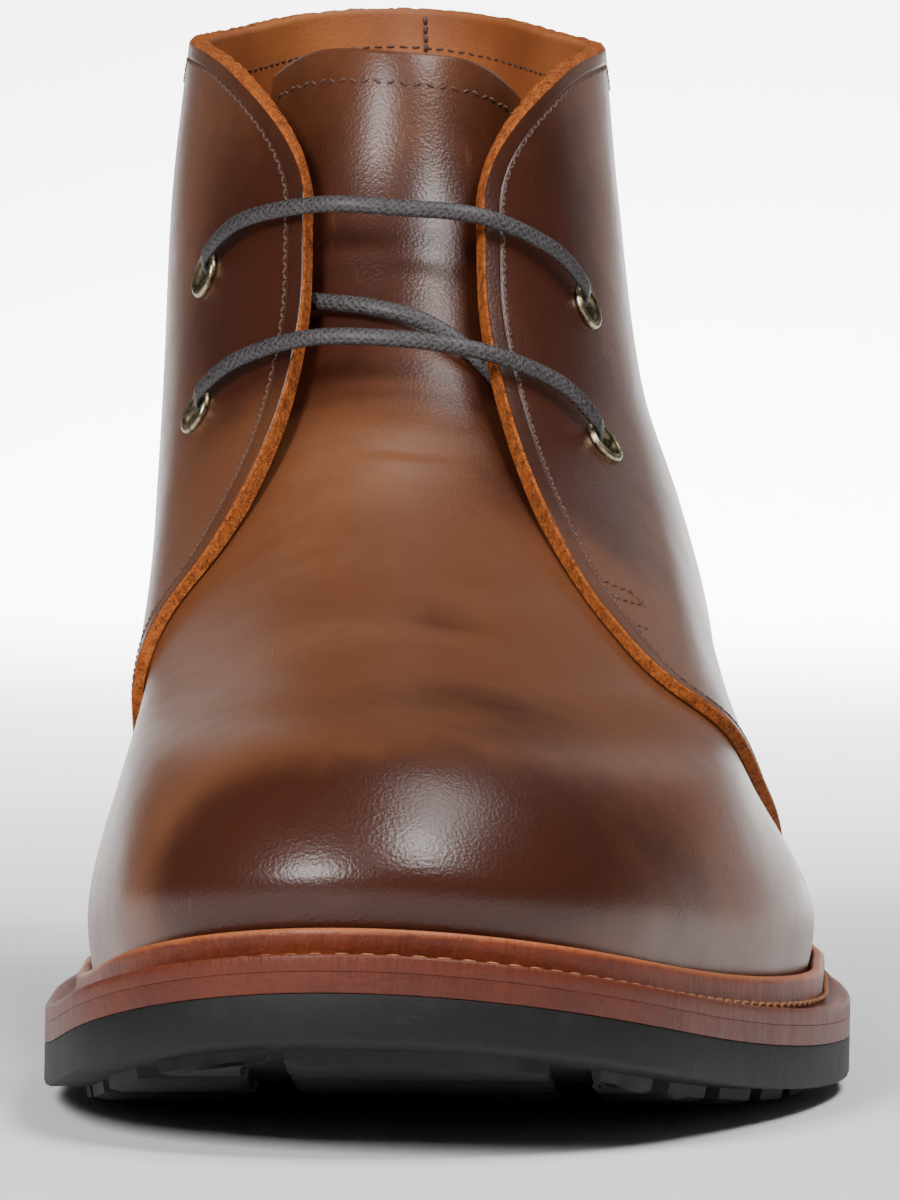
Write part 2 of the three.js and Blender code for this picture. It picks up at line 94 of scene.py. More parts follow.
def to_pixels(points):
    """Pinhole projection: sideways and upward distances divided by the depth, times the focal length."""
    ray = points - eye
    depth = ray @ eye_forward
    x = PHOTO_WIDTH / 2 + FOCAL_PIXELS * (ray @ eye_right) / depth
    y = PHOTO_HEIGHT / 2 - FOCAL_PIXELS * (ray @ eye_up) / depth
    return np.stack([x, y], -1)


camera = bpy.data.objects.new("camera", bpy.data.cameras.new("camera"))
bpy.context.scene.collection.objects.link(camera)
camera.data.sensor_fit = "VERTICAL"
camera.data.sensor_height = SENSOR_HEIGHT
camera.data.lens = FOCAL_PIXELS / PHOTO_HEIGHT * SENSOR_HEIGHT
camera.data.clip_start = 0.05
camera.data.clip_end = 50
turn = Matrix(np.stack([eye_right, eye_up, -eye_forward], 1).tolist()).to_4x4()
camera.matrix_world = Matrix.Translation((eye * MM).tolist()) @ turn
bpy.context.scene.camera = camera
print("camera at", (eye * MM).round(3), "lens", round(camera.data.lens, 1), "mm")

# %% [markdown]
# ## The sizes of the boot
# These are the same named sizes as in the part's source. The last is the wooden form that a boot is
# made on: its bottom outline and a stack of girth lines give the whole upper, so every seam, hole
# and stitch below can be placed by two numbers, a level and an angle round the foot.

# %% Driving sizes
LAST_LENGTH = 291
HALF_BALL = 97 / 2
TOE_HEIGHT, INSTEP_RISE, SHAFT_RISE = 29.5, 36, 58
COLLAR_TILT, COLLAR_DIP, FEATHER_BULGE = 6.5, 3, 0.035
LUG_DEPTH, TOE_SPRING, TREAD_SKEW = 2, 14, 0.3
TREAD_FRONT, TREAD_REAR = 0.33, 0.48
HEEL_HEIGHT, HEEL_LENGTH, HEEL_TAPER = 22, 78, 1.5
OUTSOLE, MIDSOLE, LUG_INSET = 5.8, 2, 5.5
GROOVE_WIDTH, GROOVE_SPACING = 5, 17
WELT, LIP_HEIGHT, LIP_WIDTH = 2.3, 4.4, 2.2
WELT_SHARES, WELT_WIDTHS = [0, 0.33, 0.62, 0.85, 1], [8, 7.2, 7, 5, 5]
VAMP_WALL, QUARTER_FRONT, QUARTER_BACK = 2.4, 2.0, 1.0
TONGUE_SINK, TONGUE_WALL, INSOLE = 4.9, 2.2, 3
BORE, BARREL, FLANGE, FLANGE_THICK = 2.4, 2.8, 3.6, 0.6
GAP, LIP_CLEARANCE = 0.3, 0.5
FACING_TOP, LIP_LEVEL = 0.8, 0.1

outline_share = [0, 0.12, 0.26, 0.34, 0.42, 0.52, 0.62, 0.72, 0.82, 0.92, 1]
outline_inner = [1.36, 1.06, 0.92, 0.87, 0.81, 0.68, 0.62, 0.66, 0.83, 1.02, 1.16]
outline_outer = [1.36, 1.2, 1.2, 1.19, 1.13, 1.03, 0.9, 0.82, 0.9, 1.04, 1.16]
levels = [0, 0.07, 0.16, 0.3, 0.45, 0.6, 0.8, 1]
front_share = [0, -0.008, 0.05, 0.19, 0.36, 0.508, 0.605, 0.637]
rise_count = [0, 0.5, 1, 1.16, 1.43, 2, 2.55, 3]
back_share = [1, 1.003, 1.004, 1, 0.988, 0.98, 0.976, 0.984]
climb_share = [0, 0.07, 0.17, 0.31, 0.46, 0.61, 0.8, 1]
ridge_lean = [0, 0.01, 0.02, 0.02, 0.05, 0.1, 0.145, 0.16]
spine_lean = [0, 0, 0.01, 0.05, 0.14, 0.2, 0.25, 0.27]
stations = [0, 0.2, 0.4, 0.6, 0.8, 1]
girth_inner = [[1.13, 0.92, 0.78, 0.71, 0.92, 1.38], [0.86, 0.86, 0.77, 0.73, 0.86, 1.26],
               [0.72, 0.79, 0.75, 0.75, 0.81, 1.04], [0.74, 0.72, 0.715, 0.71, 0.7, 0.84],
               [0.72, 0.67, 0.675, 0.665, 0.62, 0.66], [0.68, 0.61, 0.62, 0.61, 0.56, 0.6]]
girth_outer = [[1.2, 1.17, 1.0, 0.86, 0.94, 1.38], [0.88, 0.95, 0.87, 0.83, 0.91, 1.26],
               [0.74, 0.84, 0.8, 0.79, 0.83, 1.04], [0.74, 0.71, 0.7, 0.69, 0.69, 0.84],
               [0.72, 0.65, 0.65, 0.64, 0.6, 0.66], [0.68, 0.6, 0.61, 0.6, 0.55, 0.6]]
facing_levels = [0, 0.07, 0.15, 0.3, 0.4, 0.5, 0.6, 0.7, 0.8]
facing_inner = [93, 88, 80, 64, 54, 41, 28, 21.5, 21]
facing_outer = [108, 97, 78, 53, 44, 36, 27, 21, 20.5]
eyelets = {"inner_lower": (0.6, -53), "inner_upper": (0.73, -53),
           "outer_lower": (0.575, 53), "outer_upper": (0.705, 53)}
print("last", LAST_LENGTH, "mm long,", 2 * HALF_BALL, "mm across the ball")

# %% [markdown]
# ## Curves through a few numbers
# A short table of numbers becomes a smooth curve with a cubic through each pair of rows. The slope
# at a row comes from its neighbours, so the curve has no kinks. Whole arrays go in and come out.


# %% Smooth curves
def smooth(knots, values, at):
    """Cubic Hermite curve: each span starts and ends with the slope between its outer neighbours."""
    knots = np.asarray(knots, float)
    at = np.clip(np.asarray(at, float), knots[0], knots[-1])
    values = np.asarray(values, float)
    if values.ndim == 1:
        values = np.broadcast_to(values.reshape(-1, *[1] * at.ndim), (len(knots), *at.shape))
    order = np.arange(len(knots))
    after = np.minimum(order + 1, len(knots) - 1)
    before = np.maximum(order - 1, 0)
    spans = (knots[after] - knots[before]).reshape(-1, *[1] * at.ndim)
    slopes = (values[after] - values[before]) / spans
    low = np.clip(np.searchsorted(knots, at, side="right") - 1, 0, len(knots) - 2)
    span = knots[low + 1] - knots[low]
    u = (at - knots[low]) / span
    start, end = pick(values, low), pick(values, low + 1)
    rise = end - start
    near = pick(slopes, low) * span - rise
    far = rise - pick(slopes, low + 1) * span
    return start + rise * u + u * (1 - u) * (near * (1 - u) + far * u)


def pick(rows, index):
    """The value of each column at its own row."""
    return np.take_along_axis(rows, index[None], 0)[0]


def step(low, high, at):
    """Smooth step: 0 below low, 1 above high, and an S curve between."""
    u = np.clip((at - low) / (high - low), 0, 1)
    return u * u * (3 - 2 * u)


def mix(a, b, share):
    """Between a and b: a at share 0, b at share 1."""
    return a + (b - a) * share


def unit(vectors):
    return vectors / np.linalg.norm(vectors, axis=-1, keepdims=True)


# %% [markdown]
# ## The last, as a surface
# Angle 0 is the middle of the toe, 90 degrees the outer side and 180 the heel. Level 0 is the sole
# and level 1 the collar. A girth line starts as a straight run in the side view, sags to the sole
# near the bottom and to the collar near the top, and its width comes from the fullness tables.


# %% Bottom of the last
def outline(angle):
    """Bottom outline: half the ball width times fullness times the sine, along the last's length."""
    share = (1 - np.cos(angle)) / 2
    fullness = np.where(np.sin(angle) >= 0, smooth(outline_share, outline_outer, share),
                        smooth(outline_share, outline_inner, share))
    return np.sin(angle) * fullness * HALF_BALL, share * LAST_LENGTH


def welt_width(angle):
    """How far the welt stands out from the last, from its own short table along the foot."""
    return smooth(WELT_SHARES, WELT_WIDTHS, (1 - np.cos(angle)) / 2)


def moved_outline(angle, distance):
    """The outline pushed sideways: each point moves at right angles to the chord between neighbours."""
    x0, y0 = outline(angle - 0.01)
    x1, y1 = outline(angle + 0.01)
    length = np.hypot(x1 - x0, y1 - y0)
    x, y = outline(angle)
    return x + (y1 - y0) / length * distance, y - (x1 - x0) / length * distance


round_the_foot = np.radians(np.arange(360))
edge_x, edge_y = moved_outline(round_the_foot, welt_width(round_the_foot))
centre_x = (edge_x.min() + edge_x.max()) / 2
centre_y = (edge_y.min() + edge_y.max()) / 2
toe_y = -centre_y
sole_toe_y = toe_y - WELT_WIDTHS[0]
sole_heel_y = toe_y + LAST_LENGTH + WELT_WIDTHS[-1]
breast_y = sole_heel_y - HEEL_LENGTH
tread_front_y = mix(sole_toe_y, sole_heel_y, TREAD_FRONT)
tread_rear_y = mix(sole_toe_y, sole_heel_y, TREAD_REAR)
feather_above = OUTSOLE + GAP + MIDSOLE + 1.5 * GAP


def underside(x, y):
    """Underside of the rubber: a parabola up to the toe, flat under the ball, an S up to the heel."""
    start = tread_front_y + TREAD_SKEW * x
    spring = np.maximum(0, (start - y) / (start - sole_toe_y))
    heel = step(tread_rear_y, breast_y + HEEL_LENGTH * 0.12, y)
    return LUG_DEPTH + TOE_SPRING * spring**2 + (HEEL_HEIGHT - LUG_DEPTH) * heel


print("sole runs from", round(sole_toe_y, 1), "to", round(sole_heel_y, 1), "mm")


# %% Surface of the upper
def feather_height(x, y):
    """Height of the sole's top, on which the upper stands: the underside and the layers on it."""
    return underside(x, y) + feather_above


def rise_of(count):
    """Rise of the ridge line: 1 counts the whole toe, 2 the instep too, and 3 the shaft as well."""
    count = np.asarray(count, float)
    return (TOE_HEIGHT * np.clip(count, 0, 1) + INSTEP_RISE * np.clip(count - 1, 0, 1)
            + SHAFT_RISE * np.clip(count - 2, 0, 1))


toe_z = feather_height(0, toe_y)
heel_z = feather_height(0, toe_y + LAST_LENGTH)
collar_back_z = toe_z + rise_of(3) + COLLAR_TILT


def surface(level, angle):
    """Point of the upper: the side view gives its length and height, the fullness its half width."""
    level, angle = np.broadcast_arrays(np.asarray(level, float), np.asarray(angle, float))
    share = (1 - np.cos(angle)) / 2
    front_y = toe_y + smooth(levels, front_share, level) * LAST_LENGTH
    back_y = toe_y + smooth(levels, back_share, level) * LAST_LENGTH
    front_z = toe_z + smooth(levels, rise_of(rise_count), level)
    back_z = heel_z + smooth(levels, climb_share, level) * (collar_back_z - heel_z)
    foot_x, foot_y = outline(angle)
    sag = feather_height(foot_x - centre_x, foot_y - centre_y) - mix(toe_z, heel_z, share)
    z = mix(front_z, back_z, share) + sag * np.maximum(1 - level, 0)**2.5
    z = z - COLLAR_DIP * 4 * share * (1 - share) * level**3
    lean = mix(smooth(levels, ridge_lean, level), smooth(levels, spine_lean, level), share)
    x = np.sin(angle) * fullness(level, share, np.sin(angle)) - lean
    return np.stack([x * HALF_BALL - centre_x, mix(front_y, back_y, share), z], -1)


def fullness(level, share, side):
    """Fullness at a level: the bottom outline's own, then one row for each girth line above it."""
    both = []
    for bottom, rows in ((outline_outer, girth_outer), (outline_inner, girth_inner)):
        feather = smooth(outline_share, bottom, share)
        lines = [feather, feather * (1 + FEATHER_BULGE)]
        lines += [smooth(stations, row, share) for row in rows]
        both.append(smooth(levels, np.stack(lines), level))
    return np.where(side >= 0, *both)


def outward(level, angle):
    """Unit normal of the surface, laid level at the sole so that the walls stand upright there."""
    d = 0.004
    up = surface(np.minimum(level + d, 1), angle) - surface(np.maximum(level - d, 0), angle)
    around = surface(level, angle + d) - surface(level, angle - d)
    normal = unit(np.cross(around, up))
    normal[..., 2] *= step(0, 0.06, level)
    return unit(normal)


def skin(level, angle, offset):
    """Point at a height over the surface, keeping to the slope of the sole's top near the sole."""
    level, angle = np.broadcast_arrays(np.asarray(level, float), np.asarray(angle, float))
    point = surface(level, angle)
    before = feather_height(point[..., 0], point[..., 1])
    point = point + outward(level, angle) * np.asarray(offset)[..., None]
    change = feather_height(point[..., 0], point[..., 1]) - before
    point[..., 2] += change * (1 - step(0, 0.12, level))
    return point


def facing_edge(level, side):
    """Front edge of the quarters in radians round from the middle, on the inner or outer side."""
    return np.radians(smooth(facing_levels, facing_inner if side < 0 else facing_outer, level))


print("collar at the back", round(float(skin(1.0, math.pi, 0.0)[2]), 1), "mm high")

# %% [markdown]
# ## From a pixel to the leather
# Scuffs, folds and odd stitches are easiest to read off the photograph as pixels. A coarse grid of
# the surface is projected once, and the grid point that lands nearest the pixel, and faces the
# camera, says which level and angle that pixel is. From there on it is a place on the boot.

# %% Find a pixel on the boot
look_levels, look_angles = np.meshgrid(np.linspace(0, 1, 301), np.radians(np.linspace(-130, 130, 781)),
                                       indexing="ij")
look_points = skin(look_levels, look_angles, np.full(look_levels.shape, 1.0))
look_pixels = to_pixels(look_points)
hidden = (outward(look_levels, look_angles) * (look_points - eye)).sum(-1) > 0
look_pixels[hidden] = np.inf


def at_pixel(x, y):
    """Level and angle of the surface point whose projection is nearest the pixel."""
    miss = np.hypot(look_pixels[..., 0] - x, look_pixels[..., 1] - y)
    best = np.unravel_index(miss.argmin(), miss.shape)
    return look_levels[best], look_angles[best]


print("pixel 330,620 is level %.3f, angle %.3f" % at_pixel(330, 620))

# %% [markdown]
# ## Two ways to make a skin
# Flat goods such as leather are a panel: a front and a back grid of points with the same layout,
# joined round every edge and every hole. Bodies of one section, such as welts, laces and soles, are
# a closed profile carried along a path. Both come out closed, and the sign of the volume that they
# enclose says whether the faces need turning to point outwards.


# %% Mesh helpers
def grid_faces(rows, columns, wrap_rows=False, wrap_columns=False):
    """Quads between neighbouring points of a grid, in rows then columns."""
    i = np.arange(rows if wrap_rows else rows - 1)
    j = np.arange(columns if wrap_columns else columns - 1)
    i, j = np.meshgrid(i, j, indexing="ij")
    i2, j2 = (i + 1) % rows, (j + 1) % columns
    corners = [i * columns + j, i2 * columns + j, i2 * columns + j2, i * columns + j2]
    return np.stack(corners, -1).reshape(-1, 4)


def enclosed(points, faces):
    """Volume inside closed quads: a sixth of the triple products of both halves of each quad."""
    a, b, c, d = (points[faces[:, k]] for k in range(4))
    return ((a * np.cross(b, c)).sum() + (a * np.cross(c, d)).sum()) / 6


def weld_doubles(mesh):
    """Joins points that lie in the same place, where a loop closes up at the toe and the heel."""
    work = bmesh.new()
    work.from_mesh(mesh)
    bmesh.ops.remove_doubles(work, verts=work.verts, dist=1e-6)
    work.to_mesh(mesh)
    work.free()


pieces = {}


def make_piece(name, points, faces, looks, face_looks=None, attributes=None, sharp=40,
               replaced=(), weld=False):
    """A Blender object from points in millimetres and quads, riding on the boot's only body."""
    if enclosed(points, faces) < 0:
        faces = faces[:, ::-1]
    mesh = bpy.data.meshes.new(name)
    mesh.vertices.add(len(points))
    mesh.vertices.foreach_set("co", (points * MM).astype(np.float32).ravel())
    mesh.loops.add(faces.size)
    mesh.loops.foreach_set("vertex_index", faces.astype(np.int32).ravel())
    mesh.polygons.add(len(faces))
    mesh.polygons.foreach_set("loop_start", np.arange(0, faces.size, 4, dtype=np.int32))
    for look in looks:
        mesh.materials.append(look)
    if face_looks is not None:
        mesh.polygons.foreach_set("material_index", face_looks.astype(np.int32))
    for key, values in (attributes or {}).items():
        layer = mesh.attributes.new(key, "FLOAT", "POINT")
        layer.data.foreach_set("value", values.astype(np.float32).ravel())
    mesh.update(calc_edges=True)
    mesh.validate()
    if weld:
        weld_doubles(mesh)
    mesh.shade_smooth()
    mesh.set_sharp_from_angle(angle=math.radians(sharp))
    piece = bpy.data.objects.new(name, mesh)
    bpy.context.scene.collection.objects.link(piece)
    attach(piece, "root")
    if replaced:
        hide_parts(*replaced)
    pieces[name] = piece
    print(name, "has", len(faces), "quads")
    return piece


def panel(front, back, keep=None, edge_cells=0):
    """Points, quads and a look number for each quad of a sheet: 0 front, 1 cut edge, 2 back.
    A quad joins front to back wherever a kept cell lies beside a missing one. The outermost
    edge_cells of the front, apart from its bottom row, count as cut edge too."""
    rows, columns = front.shape[:2]
    keep = np.ones((rows - 1, columns - 1), bool) if keep is None else keep
    cells = grid_faces(rows, columns).reshape(rows - 1, columns - 1, 4)
    count = rows * columns
    padded = np.pad(keep, 1)
    quads = [cells[keep], cells[keep][:, ::-1] + count]
    index = np.arange(count).reshape(rows, columns)
    across = (padded[1:, 1:-1].astype(int) - padded[:-1, 1:-1])
    along = (padded[1:-1, 1:].astype(int) - padded[1:-1, :-1])
    for change, first, second in ((across, index[:, :-1], index[:, 1:]),
                                  (along, index[1:, :], index[:-1, :])):
        for sign, a, b in ((1, first, second), (-1, second, first)):
            a, b = a[change == sign], b[change == sign]
            quads.append(np.stack([a, b, b + count, a + count], -1))
    border = np.zeros(keep.shape, bool)
    if edge_cells:
        border[:, :edge_cells] = True
        border[:, -edge_cells:] = True
        border[-edge_cells:] = True
    looks = np.concatenate([border[keep].astype(int), np.full(keep.sum(), 2),
                            np.full(sum(len(q) for q in quads[2:]), 1)])
    points = np.concatenate([front.reshape(-1, 3), back.reshape(-1, 3)])
    return points, np.concatenate(quads), looks


def carried(sections, closed_path=False, caps=(True, True)):
    """Points and quads of a closed profile carried along a path: sections is path by profile by 3.
    A capped end is closed by strips between the two halves of its profile. An end whose profile is
    squeezed to a line needs no cap: welding its points closes it."""
    rows, columns = sections.shape[:2]
    faces = [grid_faces(rows, columns, closed_path, True)]
    k = np.arange(columns // 2 - 1)
    cap = np.stack([k, k + 1, columns - 2 - k, columns - 1 - k], -1)
    if not closed_path and caps[0]:
        faces.append(cap)
    if not closed_path and caps[1]:
        faces.append(cap[:, ::-1] + (rows - 1) * columns)
    return sections.reshape(-1, 3), np.concatenate(faces)


def join(rows):
    """Points and quads of several rows as one piece, each row's numbers moved past the last's."""
    offsets = np.cumsum([0] + [len(row[0]) for row in rows[:-1]])
    return (np.concatenate([row[0] for row in rows]),
            np.concatenate([row[1] + start for row, start in zip(rows, offsets)]))


# %% [markdown]
# ## A small language for materials
# A node tree is easier to read as a sum. A Value wraps one socket, and adding or multiplying
# Values adds the Math nodes. Everything else comes from one method that takes a node's type, its
# settings and its inputs. Only colour, roughness, coat weight and bump vary over a surface here.


# %% Shader helpers
class Value:
    """A number that varies over a surface. Arithmetic on it adds Math nodes to its look."""

    def __init__(self, look, socket):
        self.look = look
        self.socket = socket

    def math(self, operation, *values):
        return self.look.node("ShaderNodeMath", {"operation": operation}, dict(enumerate(values)))

    def __add__(self, other):
        return self.math("ADD", self, other)

    def __sub__(self, other):
        return self.math("SUBTRACT", self, other)

    def __mul__(self, other):
        return self.math("MULTIPLY", self, other)

    def __truediv__(self, other):
        return self.math("DIVIDE", self, other)

    def __pow__(self, other):
        return self.math("POWER", self, other)

    def __rsub__(self, other):
        return self.math("SUBTRACT", other, self)

    __radd__ = __add__
    __rmul__ = __mul__

    def step(self, low, high):
        """Smooth step of this value from low to high, which may run downwards."""
        inputs = {"Value": self, "From Min": low, "From Max": high}
        return self.look.node("ShaderNodeMapRange", {"interpolation_type": "SMOOTHSTEP"}, inputs)

    def sine(self):
        return self.math("SINE", self)

    def peak(self, other):
        return self.math("MAXIMUM", self, other)

    def least(self, other):
        return self.math("MINIMUM", self, other)


class Look:
    """One material with a principled shader, and short ways to make the nodes behind it."""

    def __init__(self, name, **constants):
        self.material = bpy.data.materials.new(name)
        self.material.use_nodes = True
        self.tree = self.material.node_tree
        self.shader = self.tree.nodes["Principled BSDF"]
        for key, value in constants.items():
            self.shader.inputs[key.replace("_", " ")].default_value = value
        place = self.node("ShaderNodeTexCoord", {}, {}, "Object")
        self.place = self.node("ShaderNodeVectorMath", {"operation": "SCALE"},
                               {"Vector": place, "Scale": 1 / MM}, "Vector")

    def node(self, kind, settings, inputs, output=0):
        """A node of a kind, with its settings made first, then its inputs as values or links."""
        made = self.tree.nodes.new(kind)
        for key, value in settings.items():
            setattr(made, key, value)
        for key, value in inputs.items():
            socket = self.find(made.inputs, key)
            if isinstance(value, Value):
                self.tree.links.new(value.socket, socket)
            else:
                socket.default_value = value
        return Value(self, self.find(made.outputs, output))

    def find(self, sockets, key):
        if isinstance(key, int):
            return sockets[key]
        return next(s for s in sockets if key in (s.identifier, s.name))

    def attribute(self, name):
        return self.node("ShaderNodeAttribute", {"attribute_name": name}, {}, "Fac")

    def noise(self, size, detail=2, roughness=0.5, place=None, stretch=(1, 1, 1)):
        """Soft noise whose blotches are about size millimetres wide."""
        return self.node("ShaderNodeTexNoise", {},
                         {"Vector": self.stretched(place, stretch), "Scale": 1 / size,
                          "Detail": detail, "Roughness": roughness})

    def cells(self, size, feature="F1", place=None, output="Distance"):
        """Cells about size millimetres wide, as the distance from each cell's middle."""
        return self.node("ShaderNodeTexVoronoi", {"feature": feature},
                         {"Vector": place or self.place, "Scale": 1 / size}, output)

    def stretched(self, place, stretch):
        if stretch == (1, 1, 1):
            return place or self.place
        return self.node("ShaderNodeMapping", {}, {"Vector": place or self.place, "Scale": stretch})

    def blend(self, first, second, share):
        """Colour between two colours by a share from 0 to 1."""
        return self.node("ShaderNodeMix", {"data_type": "RGBA"},
                         {"Factor_Float": share, "A_Color": first, "B_Color": second},
                         "Result_Color")

    def bump(self, height, depth, under=None):
        """Normal bent by a height from 0 to 1 that stands for depth millimetres."""
        inputs = {"Height": height, "Distance": depth * MM, "Strength": 1.0}
        if under is not None:
            inputs["Normal"] = under
        return self.node("ShaderNodeBump", {}, inputs)

    def finish(self, **links):
        for key, value in links.items():
            self.tree.links.new(value.socket, self.shader.inputs[key.replace("_", " ")])
        return self.material


def colour(code):
    """Linear colour with full alpha from a six-digit display colour."""
    parts = [int(code[k:k + 2], 16) / 255 for k in (0, 2, 4)]
    linear = [c / 12.92 if c <= 0.04045 else ((c + 0.055) / 1.055)**2.4 for c in parts]
    return (*linear, 1.0)


# %% [markdown]
# ## The pull-up leather
# This leather is full of wax and oil: where it is bent or rubbed the wax moves and the brown goes
# paler and warmer, and where it is burnished it goes dark and reddish. The same dark is painted low
# round the heel of the quarters as painted shade. The cloudy change of colour is slow noise plus the
# patches measured on the piece, the pores are small dark pits, and a soft coat over a rougher base
# gives the broad, milky reflections along both sides.


# %% Leather
def pull_up_leather(name):
    look = Look(name, Coat_Roughness=0.28, Coat_IOR=1.4, IOR=1.42)
    cloud = look.noise(34, 3, 0.55)
    mottle = look.noise(7, 4, 0.6)
    burnish_and_heel_shade = look.attribute("burnish_and_heel_shade")
    pull = look.attribute("pull")
    edge = look.attribute("edge")
    pressed = edge.step(3.0, 2.6) * edge.step(0.1, 0.6)
    groove = edge.step(2.4, 2.8) * edge.step(3.3, 2.9)
    # The dark mark is burnish, plus painted shade low round the heel of the quarters.
    dark = (burnish_and_heel_shade + (cloud - 0.5) * 0.9 + (mottle - 0.5) * 0.5).step(0.15, 1.0)
    warm = (pull + (cloud - 0.5) * -0.7 + (mottle - 0.5) * 0.35).step(0.2, 1.1)
    base = look.blend(colour("623922"), colour("7c5238"), warm)
    base = look.blend(base, colour("3b1b10"), dark)
    base = look.blend(base, colour("2a130b"), (pressed * 0.35 + groove * 0.25).least(1.0))
    grain = look.cells(0.45, "SMOOTH_F1")
    pores = look.cells(1.1).step(0.16, 0.04) * look.noise(9, 2).step(0.4, 0.6)
    base = look.blend(base, colour("200e08"), pores * 0.3)
    scratches = look.noise(2.2, 3, 0.7, stretch=(1, 0.16, 0.16)).step(0.62, 0.74)
    base = look.blend(base, colour("a06c44"), scratches * look.noise(26, 2).step(0.52, 0.7) * 0.16)
    rough = 0.37 + (mottle - 0.5) * 0.14 - dark * 0.06 + pores * 0.2
    fine = look.bump(grain + look.noise(0.24, 2) * 0.6, 0.04)
    soft = look.bump(look.noise(5, 2, 0.4), 0.02, fine)
    press = look.bump(1 - pressed * 0.6 - groove * 0.3, 0.25, soft)
    return look.finish(Base_Color=base, Roughness=rough, Normal=press,
                       Coat_Weight=0.16 - mottle * 0.1)


def raw_edge(name):
    """Cut edge of the leather: fibres of orange tan, with loose fuzz."""
    look = Look(name, Specular_IOR_Level=0.2)
    fibre = look.noise(0.4, 4, 0.75)
    clump = look.noise(1.5, 3, 0.6)
    base = look.blend(colour("66290f"), colour("c26a2c"), (fibre * 0.6 + clump * 0.6).step(0.36, 0.72))
    base = look.blend(base, colour("2c1207"), look.noise(0.5, 3, 0.7).step(0.5, 0.66) * 0.6)
    return look.finish(Base_Color=base, Roughness=fibre * 0.2 + 0.7,
                       Normal=look.bump(fibre + clump * 0.8, 0.7))


def lining_leather(name):
    """Undyed calf: a warm tan with a fine even grain and slightly darker handling marks."""
    look = Look(name)
    cloud = look.noise(22, 3)
    base = look.blend(colour("8a4a22"), colour("a86331"), cloud.step(0.3, 0.7))
    base = look.blend(base, colour("7d4520"), look.noise(4, 4, 0.65).step(0.55, 0.8) * 0.35)
    return look.finish(Base_Color=base, Roughness=0.62 + cloud * 0.1,
                       Normal=look.bump(look.cells(0.5, "SMOOTH_F1"), 0.05))


upper_look = pull_up_leather("pull_up_leather")
edge_look = raw_edge("raw_leather_edge")
lining_look = lining_leather("lining_leather")
print("leather looks:", upper_look.name, edge_look.name, lining_look.name)

# %% [markdown]
# ## Patches, folds and edges measured on the boot
# Each patch is a pixel of the photograph, a reach in millimetres and an amount. The pixel is turned
# into a point on the leather, and the amount fades with the distance from it. A fold is three
# pixels: a soft trough follows the curve through them. A cut edge is a line of points, and the
# distance to it says where the leather is pressed and stitched.

# %% Measured marks
burnish_patches = [
    # pixel x, pixel y, reach, amount
    (230, 860, 17, 0.75), (180, 870, 12, 0.4), (300, 800, 10, 0.45), (420, 790, 10, 0.5),
    (540, 800, 12, 0.5), (640, 840, 16, 0.5), (700, 880, 14, 0.45), (430, 695, 20, 0.5),
    (520, 700, 12, 0.3), (450, 615, 7, 0.45), (250, 200, 22, 0.8), (235, 370, 18, 0.7),
    (570, 380, 24, 1.0), (545, 170, 20, 0.8), (560, 480, 14, 0.7), (620, 560, 12, 0.4),
    (300, 330, 12, 0.4), (400, 900, 14, 0.4), (330, 300, 8, 0.3),
    (470, 880, 14, 0.7), (560, 870, 12, 0.4), (620, 640, 12, 0.3),
]
pull_patches = [
    (330, 470, 20, 0.35), (370, 440, 14, 0.45), (300, 560, 16, 0.45), (250, 660, 16, 0.3),
    (350, 620, 14, 0.4), (160, 900, 14, 0.4), (200, 760, 14, 0.3), (500, 640, 12, 0.3),
    (350, 240, 14, 0.6), (335, 130, 12, 0.3), (760, 900, 12, 0.3), (440, 110, 10, 0.3),
]


def patches(points, table):
    """Sum of soft round patches: each is its amount times a bell curve of distance over reach."""
    total = np.zeros(points.shape[:-1])
    for x, y, reach, amount in table:
        centre = skin(*at_pixel(x, y), 1.0)
        away = ((points - centre)**2).sum(-1)
        total += amount * np.exp(-away / (2 * (reach * 0.75)**2))
    return total


def nearest(points, line):
    """Distance from each point to the nearest of a line's points, worked out in blocks."""
    flat = points.reshape(-1, 3)
    block_size = 1500
    found = [np.sqrt(((block[:, None] - line[None])**2).sum(-1).min(1))
             for block in np.array_split(flat, max(1, len(flat) // block_size))]
    return np.concatenate(found).reshape(points.shape[:-1])


def folds(points, table):
    """Soft troughs: minus depth times a bell curve of the distance to an arc through three pixels.
    The depth fades out towards both ends of the arc."""
    total = np.zeros(points.shape[:-1])
    flat = points.reshape(-1, 3)
    t = np.linspace(0, 1, 41)[:, None]
    for start, middle, end, width, depth in table:
        a, b, c = (skin(*at_pixel(*pixel), 0.0) for pixel in (start, middle, end))
        arc = a * (1 - t) * (1 - 2 * t) + b * 4 * t * (1 - t) + c * t * (2 * t - 1)
        near = np.flatnonzero(np.linalg.norm(flat - b, axis=1) < np.linalg.norm(c - a) + 4 * width)
        if not len(near):
            continue
        away = ((flat[near, None] - arc[None])**2).sum(-1)
        place = away.argmin(1)
        bell = np.exp(-away.min(1) / (2 * width**2)) * np.sin(np.pi * t[place, 0])
        total.reshape(-1)[near] -= depth * bell
    return total


vamp_folds = [
    # three pixels, width, depth
    ((300, 400), (390, 392), (480, 400), 2.2, 0.4), ((310, 350), (400, 362), (490, 352), 2.2, 0.5),
    ((290, 440), (360, 432), (430, 440), 2.5, -0.4), ((265, 560), (300, 572), (345, 566), 0.8, 0.25),
    ((270, 585), (310, 592), (350, 584), 0.7, 0.2), ((250, 540), (285, 548), (320, 545), 0.7, 0.18),
    ((400, 600), (450, 612), (500, 600), 3.5, 0.5), ((380, 650), (460, 662), (540, 645), 4.0, 0.4),
    ((420, 560), (500, 585), (560, 570), 3.0, -0.35),
]
print(len(burnish_patches) + len(pull_patches), "patches,", len(vamp_folds), "folds")

